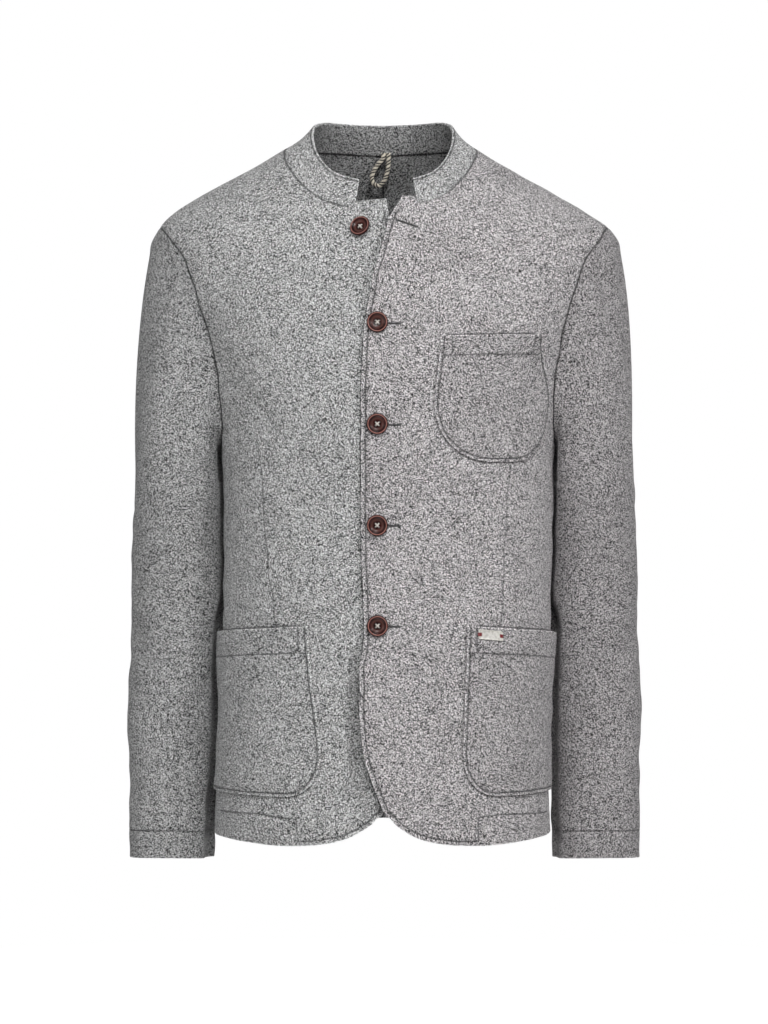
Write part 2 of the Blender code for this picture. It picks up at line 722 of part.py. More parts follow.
def seat(across, height, side, turn=0.0):
    """Where a button lies on a front: facing out, with its back just clear of all cloth behind it."""
    point, normal = front_face(np.array(across), np.array(height), side)
    face = Matrix.Rotation(math.radians(turn), 3, "Z") @ Vector(normal)
    around, share = np.meshgrid(np.linspace(0, 2 * math.pi, 17), [0.35, 0.7, 1.0])
    reach = share * BUTTON_RADIUS
    behind, _ = front_face(across + reach * np.cos(around), height + reach * np.sin(around), side)
    rounding = 1.6 * MM * ease((share - 0.7) / 0.3)
    highest = ((behind - point) @ np.array(face) - rounding).max()
    place = Vector(point) + face * (highest + BUTTON_GAP)
    sideways = Vector((0, 0, 1)).cross(face).normalized()
    return Matrix.Translation(place) @ Matrix((sideways, face.cross(sideways), face)).transposed().to_4x4()


def make_buttons(jacket, cutters):
    shared = button_mesh(cutters)
    add("button_1", shared.copy(), HORN, jacket, seat(*OPEN_BUTTON, -1, -OPEN_BUTTON_TURN))
    for i in range(BUTTONS_CLOSED):
        height = BUTTON_TOP - i * BUTTON_PITCH
        add(f"button_{i + 2}", shared.copy(), HORN, jacket, seat(BUTTON_X, height, 1))


def make_hanger(name, jacket):
    """A loop of twisted cord, sewn at both ends to the foot of the collar inside the back of the neck."""
    route = [
        (0.6, 69.9, 11.5),
        (0.2, 70.2, 7),
        (-4.6, 71, 1),
        (-9.6, 71.6, -6.5),
        (-11.8, 72, -14),
        (-9.4, 72.4, -20.6),
        (-4.6, 72.5, -22.4),
        (0.6, 72.3, -18),
        (4.2, 71.8, -9),
        (5.6, 71, 0),
        (5.8, 70.2, 7),
        (5.8, 69.9, 11.5),
    ]
    points = np.array(route) * MM
    along = np.concatenate([[0], np.cumsum(np.linalg.norm(np.diff(points, axis=0), axis=1))])
    at = np.linspace(0, along[-1], 24)
    fine = np.stack([hermite(along, p, np.gradient(p, along), at) for p in points.T], -1)
    curve = bpy.data.curves.new(name, "CURVE")
    curve.dimensions = "3D"
    curve.bevel_depth = 2.1 * MM
    curve.bevel_resolution = 2
    curve.use_fill_caps = True
    spline = curve.splines.new("POLY")
    spline.points.add(len(fine) - 1)
    for point, place in zip(spline.points, fine):
        point.co = (*place, 1)
    add(name, curve, TWIST, jacket)


def main():
    for obj in list(bpy.data.objects):
        bpy.data.objects.remove(obj)
    jacket = bpy.data.collections.new("blazer")
    cutters = bpy.data.collections.new("cutters")
    bpy.context.scene.collection.children.link(jacket)
    bpy.context.scene.collection.children.link(cutters)
    make_front("front_left", 1, jacket)
    make_front("front_right", -1, jacket)
    make_back("back_left", 1, jacket)
    make_back("back_right", -1, jacket)
    for side, name in ((1, "left"), (-1, "right")):
        seam, whole = SLEEVE_SEAM_STEP, 2 * SIDE_STEPS[1]
        make_sleeve(f"top_sleeve_{name}", side, -seam, seam, jacket)
        make_sleeve(f"under_sleeve_{name}", side, seam, whole - seam, jacket)
    make_collar("collar", jacket)
    make_pockets(jacket)
    make_plate("plate", jacket)
    make_buttons(jacket, cutters)
    make_hanger("hanger_loop", jacket)


main()
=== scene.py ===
# %% [markdown]
# A stand-collar blazer in felted grey wool, filled out as if somebody wore it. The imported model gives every
# piece its place and size. This lesson dresses it: each panel of cloth becomes a fine wall with rolled edges
# on the same form, the sewing is laid on it thread by thread, and each finish is a procedural material.

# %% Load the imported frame
import json
import math

import bpy
import numpy as np
from mathutils import Matrix, Vector

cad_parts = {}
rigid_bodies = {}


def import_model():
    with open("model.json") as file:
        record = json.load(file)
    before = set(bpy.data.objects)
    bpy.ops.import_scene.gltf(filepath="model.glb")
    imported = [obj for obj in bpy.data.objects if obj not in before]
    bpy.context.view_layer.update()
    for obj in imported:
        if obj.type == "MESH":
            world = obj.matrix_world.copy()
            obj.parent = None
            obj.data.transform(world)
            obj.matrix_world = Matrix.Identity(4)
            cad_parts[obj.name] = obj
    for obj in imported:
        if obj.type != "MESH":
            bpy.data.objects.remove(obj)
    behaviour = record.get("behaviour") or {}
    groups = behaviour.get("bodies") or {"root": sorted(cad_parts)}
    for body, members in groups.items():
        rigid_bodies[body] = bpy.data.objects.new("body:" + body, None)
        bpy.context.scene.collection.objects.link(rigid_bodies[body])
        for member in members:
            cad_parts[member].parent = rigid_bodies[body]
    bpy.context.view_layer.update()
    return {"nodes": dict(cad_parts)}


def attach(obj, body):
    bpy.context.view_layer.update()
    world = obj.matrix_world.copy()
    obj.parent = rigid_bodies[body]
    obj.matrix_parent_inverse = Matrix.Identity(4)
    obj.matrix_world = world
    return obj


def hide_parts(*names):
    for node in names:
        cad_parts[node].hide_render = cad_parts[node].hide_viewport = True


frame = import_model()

MM = 0.001
print("nodes in the frame:", len(frame["nodes"]))

# %% [markdown]
# A real studio would put such a jacket on an invisible form before a white sweep, with big soft lamps at
# both sides of the camera. The camera here stands level with the middle of the jacket, far away, with a
# long lens, as the photograph's straight edges show. Depth of field stays off, so every stitch is sharp.

# %% The camera
CAMERA_PLACE, CAMERA_LENS, CAMERA_SENSOR = (0.001, -3.4, -0.3656), 116, 36


def add_object(name, data):
    """A new object in the scene."""
    made = bpy.data.objects.new(name, data)
    bpy.context.scene.collection.objects.link(made)
    return made


camera = add_object("camera", bpy.data.cameras.new("camera"))
camera.data.lens = CAMERA_LENS
camera.data.sensor_width = CAMERA_SENSOR
camera.location = CAMERA_PLACE
camera.rotation_euler = (math.radians(90), 0, 0)
bpy.context.scene.camera = camera
print("camera", [round(x, 3) for x in camera.location], "lens", camera.data.lens)

# %% [markdown]
# The floor is a pale disc under the hem, bright enough to melt into the white surround, as in the photograph.
# A lamp hangs high in front, a small one at the right throws the shadow of the lapped edge, and a wide weak
# one at the left softens it. The surround shows as white but lights the cloth only a little, so that folds
# and gaps keep their shadows. Every mesh in this lesson, from the floor to the thread, is made from an array
# of points and an array of faces, so the two helpers for that come first.

# %% Meshes from arrays
def mesh_of(name, points, faces):
    """A mesh from an array of points and an array of faces that all have the same number of corners."""
    mesh = bpy.data.meshes.new(name)
    points, faces = np.asarray(points, np.float32).reshape(-1, 3), np.asarray(faces, np.int32)
    mesh.vertices.add(len(points))
    mesh.vertices.foreach_set("co", points.ravel())
    mesh.loops.add(faces.size)
    mesh.loops.foreach_set("vertex_index", faces.ravel())
    mesh.polygons.add(len(faces))
    mesh.polygons.foreach_set("loop_start", np.arange(0, faces.size, faces.shape[1], dtype=np.int32))
    mesh.update(calc_edges=True)
    mesh.shade_smooth()
    return mesh


def set_values(mesh, label, values):
    """One number for each point of a mesh, under a name that a material can read."""
    mesh.attributes.new(label, "FLOAT", "POINT").data.foreach_set("value", values)


def grid_faces(rows, columns, around=False):
    """Four-cornered faces of a grid of points; the last column joins the first where it goes all round."""
    number = np.arange(rows * columns).reshape(rows, columns)
    if around:
        number = np.hstack([number, number[:, :1]])
    corners = number[:-1, :-1], number[:-1, 1:], number[1:, 1:], number[1:, :-1]
    return np.stack(corners, -1).reshape(-1, 4)


# %% The studio
FLOOR, FLOOR_RADIUS, FLOOR_GREY, FLOOR_GLOW = -1.0, 1.5, 0.6, 0.9
SURROUND_SEEN, SURROUND_LIGHT = 1.0, 0.22
LAMPS = {
    "lamp_front": ((0.35, -2.9, 1.6), (0, 0, -0.2), 1.0, 49),
    "lamp_right": ((1.9, -2.2, 0.9), (0, 0, -0.3), 0.5, 23),
    "lamp_left": ((-2.3, -2.7, 0.5), (0, 0, -0.4), 1.2, 16),
}


def disc(radius, rings=12, sides=96):
    """Rings of points about the origin at the floor's height, from the rim inward."""
    turn = np.linspace(0, 2 * math.pi, sides, endpoint=False)
    far = np.linspace(radius, 0.001, rings)[:, None]
    points = np.stack([far * np.cos(turn), far * np.sin(turn), FLOOR + 0 * far * turn], -1)
    return mesh_of("floor", points, grid_faces(rings, sides, around=True))


def lamp(name, place, aim, size, power):
    """A square soft lamp that looks from its place to the point it lights."""
    made = add_object(name, bpy.data.lights.new(name, "AREA"))
    made.data.size = size
    made.data.energy = power
    made.location = place
    made.rotation_euler = (Vector(aim) - Vector(place)).to_track_quat("-Z", "Y").to_euler()


paper = bpy.data.materials.new("studio_paper")
paper.use_nodes = True
shader = paper.node_tree.nodes["Principled BSDF"]
shader.inputs["Base Color"].default_value = (FLOOR_GREY, FLOOR_GREY, FLOOR_GREY, 1)
shader.inputs["Roughness"].default_value = 0.9
shader.inputs["Emission Color"].default_value = (1, 1, 1, 1)
glow = paper.node_tree.nodes.new("ShaderNodeMath")
glow.operation = "MULTIPLY"
glow.inputs[1].default_value = FLOOR_GLOW
direct = paper.node_tree.nodes.new("ShaderNodeLightPath").outputs["Is Camera Ray"]
paper.node_tree.links.new(direct, glow.inputs[0])
paper.node_tree.links.new(glow.outputs[0], shader.inputs["Emission Strength"])
floor = add_object("studio_floor", disc(FLOOR_RADIUS))
floor.data.materials.append(paper)
for name, setting in LAMPS.items():
    lamp(name, *setting)

world = bpy.data.worlds.new("surround")
world.use_nodes = True
air = world.node_tree
seen = air.nodes.new("ShaderNodeLightPath").outputs["Is Camera Ray"]
level = air.nodes.new("ShaderNodeMapRange")
level.inputs["To Min"].default_value = SURROUND_LIGHT
level.inputs["To Max"].default_value = SURROUND_SEEN
air.links.new(seen, level.inputs["Value"])
air.links.new(level.outputs[0], air.nodes["Background"].inputs["Strength"])
air.nodes["Background"].inputs["Color"].default_value = (1, 1, 1, 1)
bpy.context.scene.world = world
bpy.context.scene.view_settings.view_transform = "Standard"
print("floor and", len(bpy.data.lights), "lamps")

# %% [markdown]
# The jacket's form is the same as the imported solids': a stack of rounded sections for the body, and two
# tubes for the sleeves. The tables are the driving sizes in millimetres, one row for each height at which
# the shape changes, and a curve that never overshoots runs through them. Working from the form and not from
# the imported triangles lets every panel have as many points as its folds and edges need.

# %% Reading a table of sizes
def table(columns, *rows):
    """A short table as one array for each named column; lengths are written in millimetres."""
    names = columns.split()
    made = {name: np.array(values, float) for name, values in zip(names, zip(*rows))}
    return {name: made[name] * (1.0 if name in ("angle", "turn", "squareness") else MM) for name in names}


def hermite(x, y, tangent, at):
    """A cubic between each two points that leaves and reaches them at the tangents given."""
    step = np.diff(x)
    at = np.clip(at, x[0], x[-1])
    i = np.clip(np.searchsorted(x, at, side="right") - 1, 0, len(step) - 1)
    t = (at - x[i]) / step[i]
    start = (1 + 2 * t) * (1 - t) ** 2 * y[i] + t * (1 - t) ** 2 * step[i] * tangent[i]
    return start + t**2 * (3 - 2 * t) * y[i + 1] + t**2 * (t - 1) * step[i] * tangent[i + 1]


def smooth(x, y, at):
    """A curve through the points whose slope at each is the harmonic mean of its neighbours' slopes."""
    slope = np.diff(y) / np.diff(x)
    rising = slope[:-1] * slope[1:] > 0
    middle = 2 * slope[:-1] * slope[1:] / np.where(rising, slope[:-1] + slope[1:], 1.0)
    return hermite(x, y, np.concatenate([slope[:1], np.where(rising, middle, 0.0), slope[-1:]]), at)


def read(rows, column, at, by="height"):
    """A column of a table as a smooth function of another column."""
    return smooth(rows[by], rows[column], at)


def ease(t):
    """From 0 to 1 as three t squared less two t cubed."""
    t = np.clip(t, 0.0, 1.0)
    return t * t * (3 - 2 * t)


def unit(v):
    """Each vector divided by its own length."""
    return v / np.linalg.norm(v, axis=-1, keepdims=True)


def run_along(line):
    """How far along a line each of its points is: the sum of the steps before it."""
    return np.concatenate([[0], np.cumsum(np.linalg.norm(np.diff(line, axis=0), axis=1))])


def read_line(line, run, at):
    """Points of a line at other runs along it, straight between its own points."""
    return np.stack([np.interp(at, run, column) for column in line.T], -1)


# %% Sizes of the body
CLOTH, COLLAR_CLOTH, SEAM, REST_GAP = 2.5 * MM, 4.0 * MM, 0.06 * MM, 0.8 * MM
HEM, NECK_SIDE, SHOULDER_TIP, ARMPIT = -693.5 * MM, 10 * MM, -74 * MM, -297 * MM
LEAN_ACROSS, LEAN_ALONG = 0.8, 0.6
RIPPLE = 0.24 * MM
RIPPLE_WAVES = ((47, 11, 90, 0.0), (-83, 30, 61, 1.7), (110, -52, -37, 0.6),
                (21, 96, 150, 2.9), (-140, 60, 115, 4.1), (60, 160, -190, 5.3))

BODY = table(
    "height half_width front back squareness shift",
    (-697.5, 172.5, 137, 140, 2.45, -1.5),
    (-640, 170.5, 136, 137, 2.45, 0),
    (-560, 168.5, 133, 130, 2.40, 2),
    (-487, 168.5, 131, 124, 2.35, 3.5),
    (-400, 169, 130, 122, 2.30, 5),
    (-335, 169.5, 132, 127, 2.25, 5.5),
    (-297, 171.5, 134, 131, 2.20, 5),
    (-240, 183, 134, 136, 2.10, 3.5),
    (-198, 197, 131, 137, 2.05, 2.5),
    (-155, 214, 125, 133, 2.05, 2),
    (-112, 233, 113, 125, 2.05, 2),
    (-90, 240, 105.5, 119, 2.05, 2.5),
    (-74, 231.5, 99, 114, 2.05, 1),
    (-58, 212, 91.5, 109, 2.05, -2.5),
    (-42, 186, 82, 103, 2.05, -3.5),
    (-26, 157, 73.5, 96, 2.05, -3.5),
    (-10, 128, 65, 88, 2.05, -3),
    (10, 95, 52, 78, 2.05, -2),
    (24, 72, 42, 71, 2.05, -1),
)

# Folds: where each lies round the body or sleeve, how long and wide it is, and how far it sinks. The first
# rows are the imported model's own, and the rest are finer ones that only the cloth has.
BODY_FOLDS = table(
    "angle height length width depth",
    (-52, -330, 120, 16, 1.6),
    (-128, -350, 110, 16, 1.4),
    (-36, -262, 60, 14, 2.2),
    (-144, -262, 60, 14, 2.2),
    (60, -190, 120, 22, 2.4),
    (118, -200, 130, 22, 2.4),
    (48, -420, 110, 18, 2.2),
    (131, -440, 120, 20, 2.0),
    (84, -520, 120, 20, 1.6),
    (-67, -74, 38, 7, 1.5),
    (-74, -108, 44, 8, 1.1),
    (-104, -118, 52, 11, 0.9),
    (-44, -420, 90, 13, 0.8),
    (-132, -520, 80, 12, 0.8),
    (-66, -560, 90, 15, 0.7),
    (-118, -600, 70, 13, 0.6),
    (38, -300, 80, 13, 1.4),
    (142, -330, 90, 12, 1.3),
    (70, -330, 80, 12, 1.0),
    (108, -360, 70, 11, 0.9),
    (100, -600, 90, 16, 1.1),
    (62, -610, 80, 14, 1.2),
)


def rounded(angle, half_x, half_y, squareness):
    """Radius of a section between an ellipse and a rectangle: the sum of the powers of both shares is 1."""
    across = np.abs(np.cos(angle) / half_x) ** squareness
    return (across + np.abs(np.sin(angle) / half_y) ** squareness) ** (-1 / squareness)


def folds(rows, place, angle, height, radius):
    """How far cloth sinks: a bell curve across each fold times a wider one along it, at its own lean."""
    sink = np.zeros(np.broadcast(angle, height).shape)
    for i, where in enumerate(rows[place]):
        apart = (np.degrees(angle) - where + 180) % 360 - 180
        across, along = np.radians(apart) * radius, height - rows["height"][i]
        lean = across * LEAN_ACROSS - along * LEAN_ALONG * (-1) ** i
        run = across * LEAN_ALONG + along * LEAN_ACROSS
        bump = np.exp(-((lean / rows["width"][i]) ** 2) - (2 * run / rows["length"][i]) ** 2)
        sink += rows["depth"][i] * bump
    return sink


def ripple(x, y, z):
    """Felt never lies dead flat: the sum of six slow sine waves in odd directions."""
    return RIPPLE * sum(np.sin(a * x + b * y + c * z + d) for a, b, c, d in RIPPLE_WAVES)


def body_form(angle, height, side):
    """Outer face of one half of the body, x outward from the middle; angle 0 is the side, negative the
    front. The section's radius less the folds gives the distance from the axis."""
    depth = np.where(np.sin(angle) < 0, read(BODY, "front", height), read(BODY, "back", height))
    radius = rounded(angle, read(BODY, "half_width", height), depth, read(BODY, "squareness", height))
    real = np.where(np.asarray(side) > 0, angle, math.pi - angle)
    radius = radius - folds(BODY_FOLDS, "angle", real, height, radius)
    x, y = radius * np.cos(angle), radius * np.sin(angle)
    grow = 1 + ripple(x * side, y, height) / radius
    return np.stack([x * grow + side * read(BODY, "shift", height), y * grow, height + 0 * angle], -1)


SMALL_STEP = 1e-4


def facing(form, u, v, step=SMALL_STEP):
    """Unit normal of a form: the cross product of small steps along its two directions."""
    return unit(np.cross(form(u + step, v) - form(u - step, v), form(u, v + step) - form(u, v - step)))


def body_point(angle, height, side, out=0.0):
    """A point of the body moved out by a distance, and the normal there."""
    normal = facing(lambda u, v: body_form(u, v, side), angle, height)
    return body_form(angle, height, side) + np.asarray(out)[..., None] * normal, normal


print("body", 2 * BODY["half_width"].max() / MM, "mm at its widest")

# %% [markdown]
# A front is cut with a straight front edge that turns into a rounded cutaway, a neckline and an armhole. The
# left one laps over the right one and its edge lifts a few millimetres, which throws the long soft shadow
# down the middle of the jacket. Each edge is a curve on the form, given as angle and height.

# %% Edges of the panels
FRONT_EDGE = table(
    "height left right lift",
    (-666, 2.6, 1, 5),
    (-646, -5.6, -6.5, 6.5),
    (-630, -12, -12.5, 7.5),
    (-617, -16, -16, 8),
    (-595, -20.4, -20, 8.5),
    (-567, -22, -21, 8.5),
    (-526, -22.7, -21, 6),
    (-497, -19.5, -21, 3.4),
    (-478.5, -18.5, -21, 2.4),
    (-430, -20.5, -21, 2),
    (-379, -21.3, -21, 0.6),
    (-330, -21.5, -21, 2),
    (-279, -21.5, -21, 0.6),
    (-216, -20.3, -20.5, 2),
    (-178.5, -17.5, -19.5, 1),
    (-143, -11.3, -16, 6),
    (-112, -3, -12, 9),
    (-77, 5.4, -7.5, 7),
    (-50, 19.9, -3, 2.5),
)
FRONT_HEM = table(
    "across height",
    (0, -668),
    (2.6, -666.5),
    (12.5, -675.5),
    (19.8, -680.5),
    (27.7, -685),
    (36.6, -689),
    (52.4, -693.5),
    (76, -696.5),
    (100, -697.5),
    (120, -696.8),
    (140, -695.5),
    (160, -694),
    (200, -693.5),
)
NECKLINE = table(
    "angle height",
    (-95, -60.5),
    (-72, -59.2),
    (-60, -54.5),
    (-50, -45.5),
    (-38, -29),
    (-28, -14),
    (-16, 0),
    (0, 10),
    (20, 11.5),
    (50, 11.5),
    (90, 9.6),
)
TROUGH = table("height depth", (-690, 5), (-640, 9), (-570, 10.5), (-520, 7), (-480, 1.2), (-300, 0.5),
               (-200, 1.2), (-150, 3.8), (-120, 3.2), (-98, 0), (-50, 0))
TROUGH_AT, TROUGH_WIDTH = 24.5 * MM, 10 * MM
LAP_RISE, LAP_FULL, LAP_END = CLOTH + REST_GAP, 30 * MM, 85 * MM
LIFT_REACH, LIFT_FROM = 32 * MM, math.radians(45)
COLLAR_END, NOTCH_GAP = {1: math.radians(-67.6), -1: math.radians(-71.5)}, math.radians(1.2)
NECK_STEP = {1: 7.5 * MM, -1: 6 * MM}
ARMHOLE_BACK, ARMHOLE_FRONT, ARMHOLE_SQUARENESS = 17.0, -18.5, 2.6
SIDE_SEAM_SWING, SIDE_SEAM_REACH, BODY_RADIUS = math.radians(8), 130 * MM, 0.18
FINE = np.linspace(0, 1, 401)
SEAM_POINTS, ARMHOLE_POINTS, RIDGE_POINTS = 201, 241, 81


def armhole(turn):
    """Angle and height of the armhole seam, a squared-off oval; turn 0 is the shoulder, 90 the front."""
    across, up = np.sin(turn), np.cos(turn)
    middle, half = (SHOULDER_TIP + ARMPIT) / 2, (SHOULDER_TIP - ARMPIT) / 2
    swing = np.radians(np.where(across > 0, ARMHOLE_FRONT, ARMHOLE_BACK))
    power = 2 / ARMHOLE_SQUARENESS
    return swing * np.abs(across) ** power, middle + half * np.sign(up) * np.abs(up) ** power


def angle_at_x(across, height, side):
    """The angle on the front at a distance from the middle: the section's own formula, solved for it."""
    across = across - side * read(BODY, "shift", height)
    power = read(BODY, "squareness", height)
    share = 1 - np.abs(across / read(BODY, "half_width", height)) ** power
    return np.arctan2(-read(BODY, "front", height) * share ** (1 / power), across)


def even_steps(line, across):
    """Resamples an edge of angle and height so that its points are equally far apart on the cloth."""
    run = run_along(np.stack([line[:, 0] * across, line[:, 1]], -1))
    return read_line(line, run, FINE * run[-1])


def side_edge(towards):
    """Side seam, armhole and shoulder seam from the hem up; -1 is a front's and 1 a back's."""
    height = np.linspace(HEM, ARMPIT, SEAM_POINTS)[:-1]
    seam = SIDE_SEAM_SWING * ease((ARMPIT - height) / SIDE_SEAM_REACH)
    around, rise = armhole(-towards * np.linspace(math.pi, 0, ARMHOLE_POINTS))
    ridge = np.linspace(SHOULDER_TIP, NECK_SIDE, RIDGE_POINTS)[1:]
    angle = np.concatenate([seam, around, 0 * ridge])
    open_edge = np.concatenate([1 + 0 * seam, 0 * around, 1 + 0 * ridge])
    height = np.concatenate([height, rise, ridge])
    angle = angle + towards * SEAM / 2 / read(BODY, "half_width", height) * open_edge
    return even_steps(np.stack([angle, height], -1), BODY_RADIUS)


def patch(edges, s, t):
    """A point inside four edges: both blends of opposite edges, less the blend of the four corners."""
    bottom, top, left, right = [read_line(edge, FINE, at) for edge, at in zip(edges, (s, s, t, t))]
    s, t = s[..., None], t[..., None]
    corners = (1 - t) * ((1 - s) * edges[0][0] + s * edges[0][-1])
    corners = corners + t * ((1 - s) * edges[1][0] + s * edges[1][-1])
    return (1 - t) * bottom + t * top + (1 - s) * left + s * right - corners


def front_edges(side):
    """Hem, neck, front edge and side of a front, and the two shares at which the neck steps up."""
    right = side_edge(-1)
    up = (right[:, 1] - HEM) / (right[-1, 1] - HEM)
    low, high = FRONT_EDGE["height"][[0, -1]]
    rise = low + up * (high - low)
    edge = read(FRONT_EDGE, "left" if side > 0 else "right", rise)
    left = np.stack([angle_at_x(edge, rise, side), rise], -1)
    start, end = left[-1, 0], right[-1, 0]
    angle = start + FINE * (end - start)
    neck = smooth(NECKLINE["angle"], NECKLINE["height"], np.degrees(angle))
    notch = COLLAR_END[side] + NOTCH_GAP * np.array([-0.5, 0.5])
    foot = np.interp(notch[1], angle, neck)
    before = rise[-1] + (angle - start) / (notch[0] - start) * (foot + NECK_STEP[side] - rise[-1])
    step = np.clip((angle - notch[0]) / NOTCH_GAP, 0, 1)
    neck = np.where(angle < notch[1], before + step * (foot - before), neck)
    hem_angle = left[0, 0] + FINE * (right[0, 0] - left[0, 0])
    across = body_form(hem_angle, 0 * hem_angle + HEM, side)[:, 0]
    hem = smooth(FRONT_HEM["across"], FRONT_HEM["height"], across)
    hem[0] = left[0, 1]
    bottom, top = np.stack([hem_angle, hem], -1), np.stack([angle, neck], -1)
    bottom[-1], top[-1] = right[0], right[-1]
    return (bottom, top, left, right), (notch - start) / (end - start)


def back_edges(side):
    """Hem, neck, side and middle seam of a back."""
    left = side_edge(1)
    up = (left[:, 1] - HEM) / (left[-1, 1] - HEM)
    rise = HEM + up * (NECKLINE["height"][-1] - HEM)
    shift = (SEAM / 2 - side * read(BODY, "shift", rise)) / read(BODY, "back", rise)
    right = np.stack([math.pi / 2 - shift, rise], -1)
    angle = left[-1, 0] + FINE * (right[-1, 0] - left[-1, 0])
    top = np.stack([angle, smooth(NECKLINE["angle"], NECKLINE["height"], np.degrees(angle))], -1)
    return left[0] + FINE[:, None] * (right[0] - left[0]), top, left, right


def front_out(points, angle, height, side):
    """How far a front lies outside the form: the left one rides over the right one and its edge lifts, and
    the right one sinks in a soft trough beside that edge."""
    across = points[..., 0]
    if side < 0:
        return -read(TROUGH, "depth", height) * np.exp(-(((across - TROUGH_AT) / TROUGH_WIDTH) ** 2))
    lap = LAP_RISE * ease((LAP_END - across) / (LAP_END - LAP_FULL))
    inside = np.maximum(across - read(FRONT_EDGE, "left", height), 0)
    lift = read(FRONT_EDGE, "lift", height) * np.exp(-((inside / LIFT_REACH) ** 2))
    return lap + lift * (np.abs(angle) > LIFT_FROM)


def on_front(plane, side, out=0.0):
    """Outer face of a front at an angle and height, moved out, and the normal there."""
    angle, height = plane[..., 0], plane[..., 1]
    raised = front_out(body_form(angle, height, side), angle, height, side) + out
    return body_point(angle, height, side, raised)


def at_front(across, height, side, out=0.0):
    """The same, at a distance from the middle instead of an angle."""
    across, height = np.broadcast_arrays(np.asarray(across, float), np.asarray(height, float))
    return on_front(np.stack([angle_at_x(across, height, side), height], -1), side, out)


print("front neck steps up at shares", front_edges(1)[1].round(3))

# %% [markdown]
# A panel is a wall with two faces. Its edges are not sharp in felt: the cut edge rolls over in nearly a
# half circle as thick as the cloth, and a row of machine stitches beside it pulls the face down in a shallow
# trough. So the columns and rows of points crowd together near the edges, by distances in millimetres, and
# lie a few millimetres apart in the middle.

# %% A wall of cloth
STEP, FINE_GAP = 3.5 * MM, 0.8 * MM
ROLL_SHARE, SEWN_DEPTH, SEWN_WIDTH, SEWN_REACH, PAST_END = 0.93, 0.5 * MM, 1.5 * MM, 9 * MM, 1.5 * MM
PLAIN_EDGE = np.array([0, 0.3, 0.75, 1.3, 2.4, 4.4]) * MM
SEWN_EDGE = np.array([0, 0.3, 0.75, 1.3, 1.9, 2.5, 3.2, 3.9, 4.8, 6.4, 8.4]) * MM


def lanes(length, near, far, breaks=()):
    """Shares of each length: the near distances from its start, the far ones from its end, and even steps
    between them that pass through the fixed breaks. One row for each length given."""
    length = np.atleast_1d(length)[:, None]
    first, last = near / length, 1 - far[::-1] / length
    stops = [first[:, -1:], *[b + 0 * length for b in breaks], last[:, :1]]
    made = [first]
    for a, b in zip(stops[:-1], stops[1:]):
        count = max(1, round(float(((b - a) * length).max()) / STEP))
        made.append(a + (b - a) * np.arange(1, count + 1) / count)
    return np.hstack([*made[:-1], made[-1][:, :-1], last])


def shares(edges, form, near, breaks=()):
    """Grid of shares over a panel, with the columns and rows crowded towards its four edges. The lengths
    of its rows and columns are measured on a coarse grid first."""
    coarse = np.linspace(0, 1, 25)
    points = form(patch(edges, *np.meshgrid(coarse, coarse)))
    wide = np.linalg.norm(np.diff(points, axis=1), axis=2).sum(1)
    long = np.linalg.norm(np.diff(points, axis=0), axis=2).sum(0)
    bottom, top, left, right = near
    columns = lanes(np.array([wide.max()]), left, right, breaks)[0]
    t = lanes(np.interp(columns, coarse, long), bottom, top).T
    s = lanes(np.interp(t.mean(1), coarse, wide), left, right, breaks)
    if s.shape[1] != t.shape[1]:
        s = np.repeat(columns[None], len(t), 0)
    return s, t


def rim_of(grid):
    """The points along the four edges of a grid, in order."""
    return np.concatenate([grid[0, :-1], grid[:-1, -1], grid[-1, :0:-1], grid[:0:-1, 0]])


def distance_to(points, line, reach=14 * MM, chunk=400):
    """Distance from each point to the nearest point of a line, and which one it is. A block of points is
    only measured against the part of the line that is within reach of it."""
    flat = points.reshape(-1, 3)
    near, which = np.full(len(flat), reach), np.zeros(len(flat), int)
    for start in range(0, len(flat), chunk):
        block = flat[start:start + chunk]
        inside = (line > block.min(0) - reach) & (line < block.max(0) + reach)
        close = np.flatnonzero(inside.all(1))
        if len(close):
            apart = ((block[:, None] - line[close][None]) ** 2).sum(2)
            which[start:start + chunk] = close[apart.argmin(1)]
            near[start:start + chunk] = np.minimum(np.sqrt(apart.min(1)), reach)
    return near.reshape(points.shape[:-1]), which.reshape(points.shape[:-1])


def fine_line(line):
    """The same line with its points an even small distance apart."""
    run = run_along(line)
    return read_line(line, run, np.linspace(0, run[-1], max(3, int(run[-1] / FINE_GAP))))


def sewn(points, normals, lines):
    """For each point, how far beside the nearest sewn line it lies, signed, how strongly the line draws the
    cloth in there, and how far along it is: the dot products of the offset with the line's sideways and
    forward directions."""
    made, best = np.zeros((*points.shape[:-1], 3)), np.full(points.shape[:-1], SEWN_REACH)
    for line, strength in lines:
        line = fine_line(line)
        near, which = distance_to(points, line)
        ahead = unit(np.gradient(line, axis=0))[which]
        offset = points - line[which]
        beyond = (offset * ahead).sum(-1)
        beside = (offset * np.cross(normals, ahead)).sum(-1)
        here = (near < best) & (np.abs(beyond) < PAST_END)
        found = np.stack([beside, strength + 0 * beside, which * FINE_GAP + beyond], -1)
        made, best = np.where(here[..., None], found, made), np.where(here, near, best)
    return made


